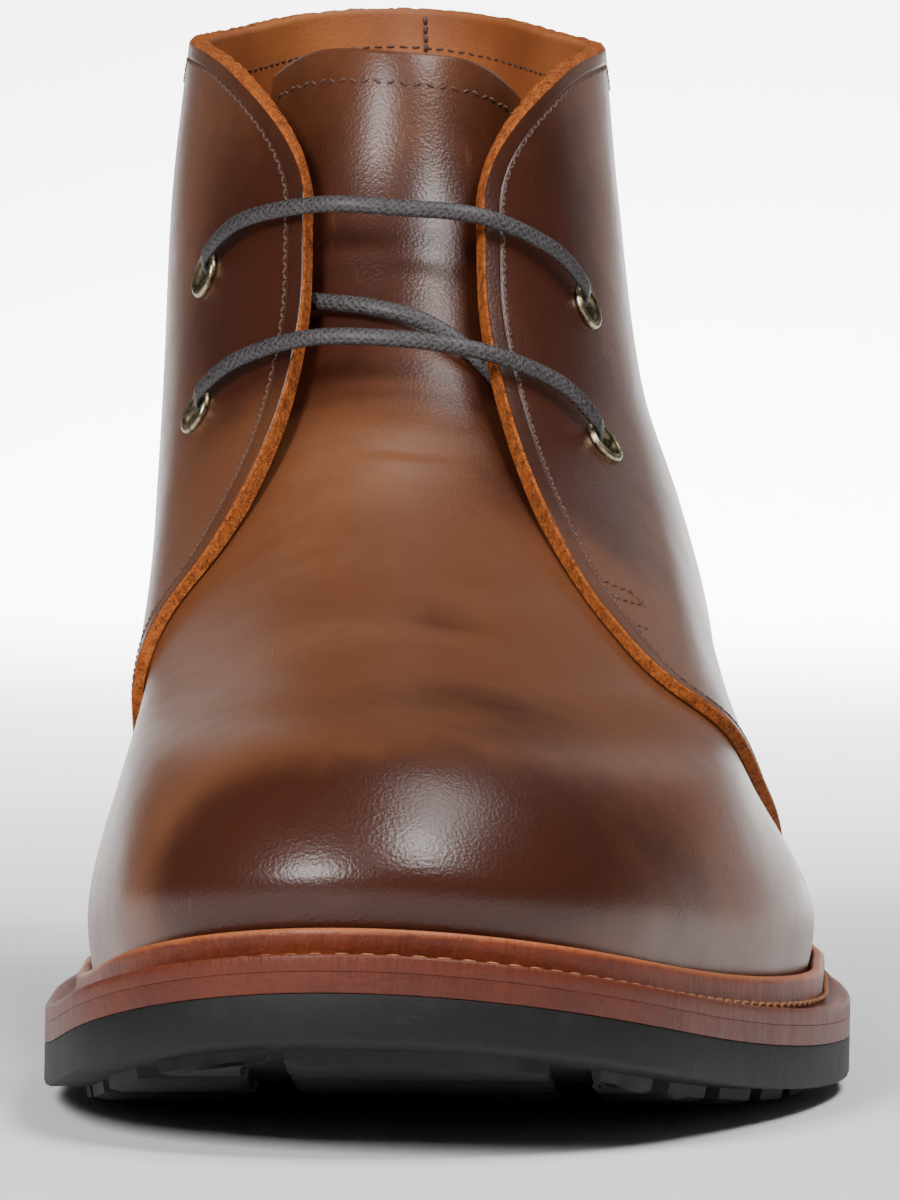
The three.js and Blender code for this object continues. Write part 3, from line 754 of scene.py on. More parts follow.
# %% [markdown]
# ## The vamp and the tongue
# On this pattern the vamp and the tongue are cut as one piece: the toe is plain, and the leather
# runs on up the throat behind the facings. One grid of levels and angles makes it. Above the throat
# it narrows to the tongue's width and sinks behind the quarters, to leave room for the lace.

# %% Vamp and tongue
LAP = math.radians(9)
FAR_FROM_EDGE = 40
TONGUE_TOP, CORNER_DROP, TONGUE_SLANT = 0.992, 0.045, 0.01
TONGUE_RISE, TONGUE_LEAN, LEAN_START = 1.8, 26, 0.78
THROAT_START, THROAT_END, TONGUE_START = 0.42, 0.5, 0.72
tongue_levels = [0.44, 0.5, 0.54, 0.6, 0.68, 0.75, 0.84, 0.92, 1.0]
tongue_half = [60, 48, 42, 39, 40.5, 43, 50, 57, 62]


def sink(level):
    """How far the leather lies behind the last's surface: 0 on the vamp, the full sink higher up,
    and a little more at the top, where the tongue leans back."""
    lean = TONGUE_LEAN * np.maximum(level - LEAN_START, 0)**1.3
    return TONGUE_SINK * step(THROAT_START, TONGUE_START, level) + lean


def tongue_lift(level):
    """How much higher the tongue stands than the quarters beside it, only near its top."""
    return TONGUE_RISE * step(0.8, 1.0, level)


def make_vamp():
    """Front and back of the vamp and tongue on one grid, and the marks on them. u runs round from
    the inner side to the outer one, v from the sole to the tongue's top."""
    u = edge_spaced(210, 0.0012)
    v = edge_spaced(220, 0.0012)
    u, v = np.meshgrid(u, v, indexing="xy")
    corner = np.abs(2 * u - 1)**3
    top = TONGUE_TOP - CORNER_DROP * corner - TONGUE_SLANT * (2 * u - 1)
    level = (0.75 * v + 0.25 * v * v) * top
    tongue = np.radians(smooth(tongue_levels, tongue_half, level))
    above_throat = step(THROAT_START, THROAT_END, level)
    inner = mix(facing_edge(level, -1) + LAP, tongue, above_throat)
    outer = mix(facing_edge(level, 1) + LAP, tongue, above_throat)
    angle = mix(-inner, outer, u)
    middle = -sink(level)
    base = skin(level, angle, middle)
    lift = folds(base, vamp_folds)
    thin = edge_thinning(u, v)
    wall = mix(VAMP_WALL, TONGUE_WALL, step(0.5, 0.6, level))
    half = wall / 2 * thin
    front = skin(level, angle, middle + lift - wall / 2 + half)
    back = skin(level, angle, middle + lift * 0.6 - wall / 2 - half)
    for face in (front, back):
        face[..., 2] += tongue_lift(level)
    attributes = {"edge": np.full(level.shape, FAR_FROM_EDGE),
                  "burnish_and_heel_shade": patches(base, burnish_patches),
                  "pull": patches(base, pull_patches)}
    return front, back, attributes


def edge_spaced(count, first):
    """Even shares from 0 to 1 with two more close to each end, for a rounded cut edge."""
    close = np.array([0, first, 3 * first])
    return np.concatenate([close, np.linspace(0, 1, count)[1:-1], 1 - close[::-1]])


def edge_thinning(u, v):
    """Share of the wall's thickness: 1 inside, less in the last rows, as a worn corner."""
    thinnest, worn_width = 0.72, 0.0036
    near_edge = np.minimum(np.minimum(u, 1 - u), 1 - v)
    return thinnest + (1 - thinnest) * step(0, worn_width, near_edge)


vamp_front, vamp_back, vamp_marks = make_vamp()
points, faces, look_numbers = panel(vamp_front, vamp_back, edge_cells=2)
doubled = {key: np.stack([values, values]) for key, values in vamp_marks.items()}
make_piece("vamp_and_tongue", points, faces, [upper_look, upper_look, lining_look],
           look_numbers, doubled, replaced=["tongue"])

# %% [markdown]
# ## The quarters
# Both sides of the shaft are one wall round the heel, whose front corners are swept back. The raw
# edge of the leather shows all round, so the wall keeps its thickness to the edge and the last rows
# are only a little thinner. The eyelet holes are cells left out of both grids, whose rims are pulled
# to a circle, and the lining is the back face of the same wall.

# %% Quarters
HOLE = BARREL + 0.15
THIS_SIDE = 10
CORNER_SHARE = 0.21


def collar_level(share):
    """Level of the top edge, by its share round from the outer facing: a quarter of an ellipse rises
    from each facing's top, and the rest is the collar."""
    corner = np.minimum(np.minimum(share, 1 - share) / CORNER_SHARE, 1)
    return FACING_TOP + (1 - FACING_TOP) * np.sqrt(1 - (1 - corner)**2)


def quarter_grid():
    """Levels and angles of the quarters, and how far each point lies from the nearer facing."""
    u = edge_spaced(300, 0.0008)
    v = edge_spaced(132, 0.0016)
    u, v = np.meshgrid(u, v, indexing="xy")
    eased = mix(u, (1 - np.cos(np.pi * u)) / 2, 0.5)
    level = (0.8 * v + 0.2 * v * v) * collar_level(eased)
    outer = facing_edge(level, 1)
    inner = 2 * np.pi - facing_edge(level, -1)
    angle = mix(outer, inner, eased)
    beyond = np.minimum(angle - outer, inner - angle)
    return u, v, level, angle, beyond


def snap_hole(grid, centre, normal, rim):
    """Moves the rim's points along the leather until they stand one hole radius from the centre."""
    arm = grid[rim] - centre
    height = (arm @ normal)[:, None] * normal
    grid[rim] = centre + height + unit(arm - height) * HOLE


def nibble(face, random):
    """Moves the outermost points in or out by a random amount, as loose fibres on a cut edge do."""
    for rim, inside in ((np.s_[:, 0], np.s_[:, 4]), (np.s_[:, -1], np.s_[:, -5]),
                        (np.s_[-1], np.s_[-5])):
        away = unit(face[rim] - face[inside])
        face[rim] += away * random.uniform(-0.1, 0.22, (len(away), 1))


def make_quarters():
    """Front, back, kept cells and marks of the quarters. A cell is left out for a hole where its
    middle is less than the hole's radius from the bore's axis, on this side of the boot only."""
    u, v, level, angle, beyond = quarter_grid()
    thin = edge_thinning(u, v)
    lapped = 1 - step(LAP + 0.03, LAP + 0.12, beyond)
    behind = mix(QUARTER_BACK, np.minimum(QUARTER_BACK, 0.75 * sink(level)) - 0.02, lapped)
    middle = (QUARTER_FRONT - behind) / 2
    half = (QUARTER_FRONT + behind) / 2 * thin
    front = skin(level, angle, middle + half)
    back = skin(level, angle, middle - half)
    keep = np.ones((front.shape[0] - 1, front.shape[1] - 1), bool)
    for place, degrees in eyelets.values():
        spot = math.radians(degrees) % (2 * math.pi)
        centre = surface(place, spot)
        normal = outward(place, spot)
        arm = skin(level, angle, np.zeros(level.shape)) - centre
        depth = arm @ normal
        away = np.linalg.norm(arm - depth[..., None] * normal, axis=-1)
        away[np.abs(depth) > THIS_SIDE] = np.inf
        mean = (away[1:, 1:] + away[:-1, 1:] + away[1:, :-1] + away[:-1, :-1]) / 4
        hole = mean < HOLE
        keep &= ~hole
        touched = np.zeros(level.shape, int)
        for rows in (slice(0, -1), slice(1, None)):
            for columns in (slice(0, -1), slice(1, None)):
                touched[rows, columns] += hole
        rim = (touched > 0) & (touched < 4)
        snap_hole(front, centre, normal, rim)
        snap_hole(back, centre, normal, rim)
    cut = np.concatenate([front[:, 0], front[-1], front[:, -1]])
    random = np.random.default_rng(5)
    nibble(front, random)
    nibble(back, random)
    base = skin(level, angle, np.zeros(level.shape))
    # Painted shade: the lower back round the heel is darkened through the burnish mark, standing in for
    # the shade on the rear of the boot.
    heel_side = step(1.9, 2.8, angle) * step(2 * np.pi - 1.9, 2 * np.pi - 2.8, angle)
    heel_painted_shade = 0.35 * heel_side * step(0.5, 0.2, level)
    attributes = {"edge": np.minimum(nearest(front, cut), FAR_FROM_EDGE),
                  "burnish_and_heel_shade": patches(base, burnish_patches) + heel_painted_shade,
                  "pull": patches(base, pull_patches)}
    return front, back, keep, attributes


quarter_front, quarter_back, quarter_keep, quarter_marks = make_quarters()
points, faces, look_numbers = panel(quarter_front, quarter_back, quarter_keep, edge_cells=2)
doubled = {key: np.stack([values, values]) for key, values in quarter_marks.items()}
make_piece("quarters", points, faces, [upper_look, edge_look, lining_look],
           look_numbers, doubled, replaced=["upper"])

# %% [markdown]
# ## The storm welt
# A storm welt is a strip of leather sewn round the upper, with a lip that stands up against it to
# keep water out. Its section is a closed profile carried all round the foot: a flat margin with a
# sunk channel for the stitches, and a rounded lip whose top is worn pale. The channel and the lip's
# back against the upper are coloured darker as painted shade.

# %% Welt leather
def welt_leather(name, dark, light, worn_colour):
    look = Look(name, Specular_IOR_Level=0.35, Coat_Weight=0.1, Coat_Roughness=0.3)
    wear_and_groove_shade = look.attribute("wear_and_groove_shade")
    rim = look.attribute("rim")
    streak = look.noise(1.2, 4, 0.7, stretch=(0.5, 0.5, 2.5))
    cloud = look.noise(12, 3, 0.6)
    base = look.blend(colour(dark), colour(light), (streak * 0.6 + cloud * 0.6).step(0.35, 0.85))
    base = look.blend(base, colour(worn_colour), (wear_and_groove_shade + (streak - 0.5) * 0.6).step(0.3, 1.1))
    # Below 0 the mark is painted shade: the channel and the lip's back are darkened as if in shadow.
    base = look.blend(base, colour("3a1a0e"), (0 - wear_and_groove_shade).step(0.2, 1.0) * 0.75)
    base = look.blend(base, colour("56200e"), rim * (1.1 - streak * 0.6))
    specks = look.cells(1.3).step(0.12, 0.03) * 0.4
    base = look.blend(base, colour("40200f"), specks)
    wrinkles = look.noise(2.4, 3, 0.6, stretch=(1.6, 0.5, 0.35))
    fine = look.bump(look.cells(0.5, "SMOOTH_F1") + streak * 0.6, 0.05)
    return look.finish(Base_Color=base, Roughness=0.5 + streak * 0.14,
                       Normal=look.bump(wrinkles, 0.45, fine))


welt_look = welt_leather("welt_leather", "561f0c", "7c3415", "a05a32")
midsole_look = welt_leather("midsole_leather", "48180b", "642811", "804626")


# %% Storm welt
def level_above(angle, height):
    """Level at which the surface stands a height above the sole's top, by halving an interval."""
    low, high = np.zeros_like(angle), np.full_like(angle, 0.3)
    for _ in range(24):
        middle = (low + high) / 2
        point = surface(middle, angle)
        below = point[..., 2] - feather_height(point[..., 0], point[..., 1]) < height
        low, high = np.where(below, middle, low), np.where(below, high, middle)
    return low


def upper_outset(angle):
    """How far the upper stands out where it meets the welt: nothing at the vamp, the quarters' wall."""
    degrees = np.abs(np.degrees(np.arctan2(np.sin(angle), np.cos(angle))))
    seam = np.where(np.sin(angle) >= 0, smooth(facing_levels, facing_outer, LIP_LEVEL),
                    smooth(facing_levels, facing_inner, LIP_LEVEL))
    return QUARTER_FRONT * step(seam - 14, seam - 2, degrees)


def sole_ring(angle, inset, above):
    """Outline of the sole moved inwards, at a height above the sole's own underside."""
    x, y = moved_outline(angle, welt_width(angle) - inset)
    x, y = x - centre_x, y - centre_y
    return np.stack([x, y, underside(x, y) + above], -1)


def beside_upper(angle, clearance, above):
    offset = upper_outset(angle) + LIP_CLEARANCE + clearance
    return skin(level_above(angle, np.full_like(angle, above)), angle, offset)


def channel(angle, share, drop):
    """Point of the welt's top between the lip's foot and the rim, sunk by a drop."""
    foot = beside_upper(angle, LIP_WIDTH + 0.35, WELT)
    rim = sole_ring(angle, 0.5, feather_above + WELT)
    point = mix(foot, rim, share)
    room = np.linalg.norm(rim - foot, axis=-1)
    point[..., 2] -= drop * step(0.6, 2.0, room)
    return point


welt_angles = np.linspace(0, 2 * np.pi, 720, endpoint=False)
LIP_TOP = WELT + LIP_HEIGHT
welt_profile = [
    # section points from the rim's foot up and inwards, with how worn each one is; below 0, how much
    # painted shade darkens it in the channel and behind the lip
    (sole_ring(welt_angles, 0.03, feather_above + 0.02), 0.1),
    (sole_ring(welt_angles, 0, feather_above + 0.1), 0.1),
    (sole_ring(welt_angles, 0, feather_above + 1.1), 0.1),
    (sole_ring(welt_angles, 0, feather_above + WELT - 0.5), 0.3),
    (sole_ring(welt_angles, 0.15, feather_above + WELT - 0.15), 0.7),
    (sole_ring(welt_angles, 0.5, feather_above + WELT), 0.5),
    (channel(welt_angles, 0.75, 0.0), 0.2), (channel(welt_angles, 0.62, 0.05), 0.0),
    (channel(welt_angles, 0.46, 0.3), -0.5), (channel(welt_angles, 0.3, 0.35), -0.9),
    (channel(welt_angles, 0.14, 0.2), -0.8), (channel(welt_angles, 0.05, 0.0), -0.2),
    (beside_upper(welt_angles, LIP_WIDTH + 0.15, WELT + 0.25), 0.0),
    (beside_upper(welt_angles, LIP_WIDTH, WELT + 0.9), 0.1),
    (beside_upper(welt_angles, LIP_WIDTH * 0.95, WELT + 2.2), 0.15),
    (beside_upper(welt_angles, LIP_WIDTH * 0.85, LIP_TOP - 1.0), 0.3),
    (beside_upper(welt_angles, LIP_WIDTH * 0.72, LIP_TOP - 0.35), 0.8),
    (beside_upper(welt_angles, LIP_WIDTH * 0.5, LIP_TOP), 1.2),
    (beside_upper(welt_angles, 0.35, LIP_TOP - 0.05), 1.1),
    (beside_upper(welt_angles, 0.05, LIP_TOP - 0.4), 0.2),
    (beside_upper(welt_angles, 0, LIP_TOP - 1.5), -0.5),
    (beside_upper(welt_angles, 0, WELT), -0.5), (beside_upper(welt_angles, 0, 0.05), -0.5),
    (sole_ring(welt_angles, 2.5, feather_above + 0.02), 0.0),
]
welt_sections = np.stack([ring for ring, _ in welt_profile], 1)
wear_and_groove_shade = np.broadcast_to([amount for _, amount in welt_profile], welt_sections.shape[:2])
rim = np.broadcast_to(np.arange(len(welt_profile)) < 6, welt_sections.shape[:2])
points, faces = carried(welt_sections, closed_path=True)
make_piece("storm_welt", points, faces, [welt_look],
           attributes={"wear_and_groove_shade": wear_and_groove_shade, "rim": rim}, sharp=60, replaced=["welt"])

# %% [markdown]
# ## The sole's layers
# The midsole, the rubber sole, the insole and the heel are layers: a flat loop across the foot,
# carried from the toe to the heel. Going across instead of round keeps every face a neat quad, and
# the loop's own rounded corners make the edges that catch the light.


# %% Rubber
def moulded_rubber(name):
    """Black rubber, slightly grey with dust, with the fine pitting of a mould on it."""
    look = Look(name, Specular_IOR_Level=0.35)
    dust = look.noise(5, 4, 0.7)
    base = look.blend(colour("0c0c0d"), colour("1b1b1d"), dust.step(0.45, 0.85))
    scuff = look.noise(1.6, 4, 0.75, stretch=(0.3, 0.3, 2)).step(0.6, 0.8)
    base = look.blend(base, colour("3c3a39"), scuff * 0.35)
    pits = look.cells(1.0).step(0.3, 0.1)
    fine = look.bump(look.noise(0.6, 3, 0.6) - pits * 0.3, 0.06)
    return look.finish(Base_Color=base, Roughness=0.55 + dust * 0.25, Normal=fine)


rubber_look = moulded_rubber("moulded_rubber")


# %% Layers
def across(angles, loop):
    """Sections of a layer: loop rows are share across, inset and height above the underside.
    Both rims at an angle are found first, and the loop's points lie between them."""
    sections = []
    for share, inset, above in loop:
        right = sole_ring(angles, inset, above)
        left = sole_ring(-angles, inset, above)
        point = mix(left, right, share)
        point[:, 2] = underside(point[:, 0], point[:, 1]) + above
        sections.append(point)
    return np.stack(sections, 1)


def layer_loop(bottom, top, rounding, across_count=24):
    """Loop of a layer: over the bottom to the right rim, up its rounded edge, and back over the top."""
    flat = (1 - np.cos(np.linspace(0, np.pi, across_count))) / 2
    low = [(s, rounding, bottom) for s in flat]
    right = [(1.0, rounding * 0.3, bottom + rounding * 0.3), (1.0, 0.0, bottom + rounding),
             (1.0, 0.0, top - rounding * 0.5), (1.0, rounding * 0.2, top - 0.05)]
    high = [(s, rounding * 0.6, top) for s in flat[::-1]]
    left = [(0.0, inset, height) for _, inset, height in right[::-1]]
    return low + right + high + left


foot_angles = np.linspace(0, np.pi, 400)
uncapped = (False, False)
points, faces = carried(across(foot_angles, layer_loop(OUTSOLE + 0.03, feather_above, 0.12)),
                        caps=uncapped)
worn_here = np.full(len(points), 0.15)
make_piece("leather_midsole", points, faces, [midsole_look],
           attributes={"wear_and_groove_shade": worn_here}, replaced=["midsole"], weld=True)
points, faces = carried(across(foot_angles, layer_loop(0, OUTSOLE, 0.7)), caps=uncapped)
make_piece("rubber_outsole", points, faces, [rubber_look], replaced=["outsole"], weld=True)


# %% Insole
def insole_sections(angles, inset=-(VAMP_WALL + 1.5 * GAP)):
    """The sock's section: level across, with its rims a little lower than its middle."""
    flat = (1 - np.cos(np.linspace(0, np.pi, 16))) / 2
    loop = [(s, 0.0) for s in flat] + [(s, INSOLE - 0.6 * abs(2 * s - 1)**4) for s in flat[::-1]]
    rims = [np.stack(moved_outline(side * angles, inset), -1) for side in (-1, 1)]
    sections = []
    for share, above in loop:
        plan = mix(rims[0], rims[1], share) - [centre_x, centre_y]
        height = feather_height(plan[:, 0], plan[:, 1]) + above
        sections.append(np.concatenate([plan, height[:, None]], 1))
    return np.stack(sections, 1)


points, faces = carried(insole_sections(foot_angles), caps=uncapped)
make_piece("sock_lining", points, faces, [lining_look], replaced=["insole"],
           weld=True)


# %% Lugs
def outline_limits(y, inset):
    """The sole's left and right limits at a place along it, read from the moved outline."""
    angles = np.linspace(0.01, np.pi - 0.01, 500)
    right = sole_ring(angles, inset, 0)
    left = sole_ring(-angles, inset, 0)
    return np.interp(y, left[:, 1], left[:, 0]), np.interp(y, right[:, 1], right[:, 0])


def lug(y0, y1, column):
    """One lug: a small grid whose sides follow the sole's edge, sunk at its rim to a soft corner."""
    s, t = np.meshgrid(np.linspace(0, 1, 13), np.linspace(0, 1, 9))
    y = mix(y0, y1, t)
    limits = outline_limits(y, LUG_INSET)
    long_groove = 0.4 * HALF_BALL
    low = [limits[0], -long_groove + GROOVE_WIDTH / 2, long_groove + GROOVE_WIDTH / 2][column]
    high = [-long_groove - GROOVE_WIDTH / 2, long_groove - GROOVE_WIDTH / 2, limits[1]][column]
    low, high = np.minimum(low, limits[1]), np.maximum(high, limits[0])
    low, high = np.maximum(low, limits[0]), np.minimum(high, limits[1])
    if (high - low).max() < 3:
        return None
    x = mix(low, np.maximum(high, low + 0.5), s)
    rim = np.minimum(np.minimum(s, 1 - s) * 12, np.minimum(t, 1 - t) * 8)
    sunk = 0.5 * (1 - np.clip(rim, 0, 1))
    draft = 0.4 * (1 - np.clip(rim, 0, 1))
    low_skin = np.stack([x + draft * np.sign(0.5 - s), y + draft * np.sign(0.5 - t),
                         underside(x, y) - LUG_DEPTH + sunk], -1)
    high_skin = np.stack([x, y, underside(x, y) + 0.5], -1)
    return panel(low_skin, high_skin)


rows = np.arange(sole_toe_y + GROOVE_SPACING * 1.1, tread_rear_y + GROOVE_SPACING, GROOVE_SPACING)
starts = np.concatenate([[sole_toe_y + LUG_INSET + 2], rows + GROOVE_WIDTH])
ends = np.concatenate([rows, [tread_rear_y + GROOVE_SPACING]])
lugs = [lug(y0, y1, column) for y0, y1 in zip(starts, ends) if y1 - y0 > 3 for column in range(3)]
points, faces = join([one for one in lugs if one is not None])
make_piece("outsole_lugs", points, faces, [rubber_look], replaced=["outsole"])


# %% Heel
def heel_sections(angles):
    """The heel's section across: flat on the floor with two grooves, tapering out to the sole."""
    flat = (1 - np.cos(np.linspace(0, np.pi, 20))) / 2
    loop = [(s, HEEL_TAPER + 0.8, 0.0) for s in flat]
    loop += [(1, HEEL_TAPER + 0.1, 0.25), (1, HEEL_TAPER, 0.8), (1, HEEL_TAPER * 0.8, 6.9),
             (1, HEEL_TAPER * 0.8 + 0.25, 7.1), (1, HEEL_TAPER * 0.75, 7.3), (1, HEEL_TAPER / 2, None)]
    side = loop[-1:-7:-1]
    loop += [(s, HEEL_TAPER / 2 + 0.1, None) for s in flat[::-1]]
    loop += [(0, inset, height) for _, inset, height in side]
    sections = []
    for share, inset, height in loop:
        rims = [np.stack(moved_outline(way * angles, welt_width(angles) - inset), -1) for way in (-1, 1)]
        plan = mix(rims[0], rims[1], share) - [centre_x, centre_y]
        top = underside(plan[:, 0], plan[:, 1]) - GAP
        z = top if height is None else np.minimum(np.full(len(angles), height), top)
        if height == 0:
            for part in (0.25, 0.75):
                away = np.abs(plan[:, 1] - breast_y - HEEL_LENGTH * part)
                z = z + LUG_DEPTH * step(GROOVE_WIDTH / 2 + 0.4, GROOVE_WIDTH / 2 - 0.4, away)
        sections.append(np.concatenate([plan, z[:, None]], 1))
    sections = np.stack(sections, 1)
    sections[0, :, 1] = breast_y
    return sections


edge_angles = np.linspace(0.5 * np.pi, np.pi, 2000)
breast_angle = np.interp(breast_y, moved_outline(edge_angles, welt_width(edge_angles))[1] - centre_y,
                         edge_angles)
points, faces = carried(heel_sections(np.linspace(breast_angle, np.pi, 220)), caps=(True, False))
make_piece("heel_block", points, faces, [rubber_look], replaced=["heel"], weld=True)

# %% [markdown]
# ## The eyelets
# Each eyelet is a turned tube with a rolled rim in front and a pressed ring behind. A lathe is a
# grid too: a closed profile of radius and height, carried round an axis, which here is the
# direction in which the leather faces at that place.

# %% Brass
def antique_brass(name):
    look = Look(name)
    tarnish = look.noise(1.1, 4, 0.7)
    base = look.blend(colour("564c3a"), colour("bcae8c"), tarnish.step(0.3, 0.65))
    return look.finish(Base_Color=base, Roughness=0.2 + tarnish * 0.25,
                       Normal=look.bump(look.noise(0.5, 3), 0.02), Metallic=1 - tarnish * 0.1)


brass_look = antique_brass("antique_brass")


# %% Eyelets
def turned(level, angle, profile, sides=56):
    """Turned ring: every profile point goes round the outward axis at its own radius and height."""
    axis = outward(level, angle)
    arm = unit(np.cross(axis, [0.0, 1.0, 0.2]))
    other = np.cross(axis, arm)
    round_angle = np.linspace(0, 2 * np.pi, sides, endpoint=False)[:, None, None]
    radius, height = np.asarray(profile, float).T[..., None]
    ring = np.cos(round_angle) * arm + np.sin(round_angle) * other
    return surface(level, angle) + radius * ring + height * axis


flange_front = QUARTER_FRONT + 0.12
flange_back = -QUARTER_BACK - 0.12
roll = [(FLANGE - 0.62 + 0.62 * math.cos(t), flange_front + 0.2 + 0.62 * math.sin(t))
        for t in np.linspace(-0.35, math.pi * 0.72, 10)]
throat = [(BORE + 0.25, flange_front + 0.55), (BORE + 0.04, flange_front + 0.1), (BORE, 0.5),
          (BORE, flange_back - 0.3)]
back_ring = [(BORE + 0.2, flange_back - FLANGE_THICK), (FLANGE - 0.6, flange_back - FLANGE_THICK),
             (FLANGE - 0.3, flange_back - 0.2), (FLANGE - 0.4, flange_back), (BARREL, flange_back),
             (BARREL, flange_front)]
for name, (level, degrees) in eyelets.items():
    sections = turned(np.array(level), np.array(math.radians(degrees)), roll + throat + back_ring)
    points, faces = carried(sections, closed_path=True)
    make_piece("ring_" + name, points, faces, [brass_look], sharp=60,
               replaced=["eyelet_" + name])

# %% [markdown]
# ## The lace
# The lace is one length of waxed, flat-woven cotton. It rises from behind the outer top eyelet,
# crosses to the inner one, goes down behind the facings to the outer lower eyelet, crosses again
# and ends behind. The path is a smooth curve through measured places, and the flat section is kept
# upright on the boot. Its own map in millimetres carries the braid along it.


# %% Waxed cotton
def waxed_lace(name):
    look = Look(name, Coat_Weight=0.18, Coat_Roughness=0.35)
    uv = look.node("ShaderNodeUVMap", {"uv_map": "lace"}, {})
    parts = look.node("ShaderNodeSeparateXYZ", {}, {"Vector": uv}, "X")
    along = parts
    round_it = Value(look, parts.socket.node.outputs["Y"])
    wobble = look.noise(2.5, 2) * 5
    one = ((along * 2.6 + round_it * 2.4 + wobble).sine()) ** 2
    two = ((along * 2.6 - round_it * 2.4 + wobble).sine()) ** 2
    braid = one.peak(two)
    fuzz = look.noise(0.5, 3, 0.7)
    wax = look.noise(2.0, 3, 0.7)
    base = look.blend(colour("151213"), colour("544c4d"), (braid * 0.2 + fuzz * 0.9).step(0.35, 1.0))
    return look.finish(Base_Color=base, Roughness=0.52 + fuzz * 0.2 - wax * 0.25,
                       Normal=look.bump(braid * 0.5 + fuzz * 1.3, 0.18))


lace_look = waxed_lace("waxed_lace")

# %% Lace
LACE_RADIUS = 1.25
LACE_HALF_WIDTH, LACE_HALF_THICKNESS = 1.3, 0.68
LACE_POINTS, LACE_SIDES, LACE_GIRTH = 700, 20, 8
over_facing = QUARTER_FRONT + LACE_RADIUS + 2 * GAP
behind_facing = -QUARTER_BACK - LACE_RADIUS - 2 * GAP
behind_eyelet = -QUARTER_BACK - 2.5 * GAP - FLANGE_THICK - LACE_RADIUS - 2 * GAP


def rising(name, side):
    """From behind an eyelet, up through its hole, and slanting off over its rim to one side."""
    level, degrees = eyelets[name]
    inward = -1 if degrees > 0 else 1
    steps = [(0, 0, behind_eyelet), (0, 0, -1.6), (0.003, 0.5, 0.6), (0.01, 2.0, 2.6),
             (0.02, 5.5, over_facing + 0.1)]
    return [(level + side * up, degrees + inward * along, height) for up, along, height in steps]


lace_route = [
    # level, degrees, height
    *rising("outer_upper", 1), (0.757, 36, over_facing + 0.5),
    (0.785, 19, over_facing + 0.2), (0.795, 0, over_facing - 0.6), (0.795, -16, over_facing + 0.2),
    (0.78, -35, over_facing + 0.5), *rising("inner_upper", 1)[::-1], (0.726, -47, behind_eyelet),
    (0.724, -38, behind_facing), (0.726, -22, behind_facing), (0.724, -6, behind_facing),
    (0.712, 8, behind_facing), (0.68, 22, behind_facing), (0.625, 36, behind_facing),
    (0.588, 46, behind_eyelet), *rising("outer_lower", 1), (0.632, 36, over_facing + 0.5),
    (0.66, 18, over_facing + 0.4), (0.672, 0, over_facing), (0.67, -18, over_facing + 0.4),
    (0.65, -35, over_facing + 0.5), *rising("inner_lower", 1)[::-1],
]


def smooth_path(knots, count):
    """Centripetal curve through points: the parameter grows with the square root of each step, and
    the points are then spaced evenly by length."""
    steps = np.linalg.norm(np.diff(knots, axis=0), axis=1)**0.5
    at = np.concatenate([[0], np.cumsum(steps)])
    fine = np.linspace(0, at[-1], count * 6)
    line = np.stack([smooth(at, knots[:, k], fine) for k in range(3)], -1)
    return evenly(line, count)


def evenly(line, count):
    """The same line with points at even steps of its length."""
    length = np.concatenate([[0], np.cumsum(np.linalg.norm(np.diff(line, axis=0), axis=1))])
    even = np.linspace(0, length[-1], count)
    return np.stack([np.interp(even, length, line[:, k]) for k in range(3)], -1)


def tube(path, upright, half_width, half_thick, sides):
    """A flattened round section carried along a path, its wide way kept near an upright direction."""
    along = unit(np.gradient(path, axis=0))
    wide = unit(upright - (upright * along).sum(-1, keepdims=True) * along)
    flat = np.cross(along, wide)
    t = np.linspace(0, 2 * np.pi, sides, endpoint=False)[None, :, None]
    across_it = half_width * np.cos(t) * wide[:, None]
    return path[:, None] + across_it + half_thick * np.sin(t) * flat[:, None]


route = np.array(lace_route)
knots = skin(route[:, 0], np.radians(route[:, 1]), route[:, 2])
lace_path = smooth_path(knots, LACE_POINTS)
upright = np.array([0.0, 0.35, 1.0])
sections = tube(lace_path, upright, LACE_HALF_WIDTH, LACE_HALF_THICKNESS, LACE_SIDES)
points, faces = carried(sections)
lace = make_piece("lace_cord", points, faces, [lace_look], sharp=60, replaced=["lace"])
lace_length = np.linalg.norm(np.diff(lace_path, axis=0), axis=1).sum()
row_length = np.linspace(0, lace_length, LACE_POINTS)
ring_width = np.linspace(0, LACE_GIRTH, LACE_SIDES, endpoint=False)
corner = np.zeros(len(lace.data.loops), np.int32)
lace.data.loops.foreach_get("vertex_index", corner)
map_layer = lace.data.uv_layers.new(name="lace")
map_values = np.stack([row_length[corner // LACE_SIDES], ring_width[corner % LACE_SIDES]], -1)
map_layer.data.foreach_set("uv", map_values.astype(np.float32).ravel())
print("lace shown:", round(float(lace_length)), "mm")

# %% [markdown]
# ## The stitches
# A stitch is a short bead of thread that dips into the leather at both ends. One bead is a small
# grid, and all the beads of a row are made at once by adding two more array axes. The rows follow
# the cut edges at a set distance, which is solved on the surface from its two tangents.

# %% Thread
def waxed_thread(name, dark, light):
    look = Look(name)
    twist = look.noise(0.35, 3, 0.7)
    base = look.blend(colour(dark), colour(light), twist.step(0.35, 0.7))
    return look.finish(Base_Color=base, Roughness=0.6 + twist * 0.1,
                       Normal=look.bump(twist, 0.06))


brown_thread = waxed_thread("brown_thread", "3e251c", "63463a")
tan_thread = waxed_thread("tan_thread", "7c4a26", "b07a4a")


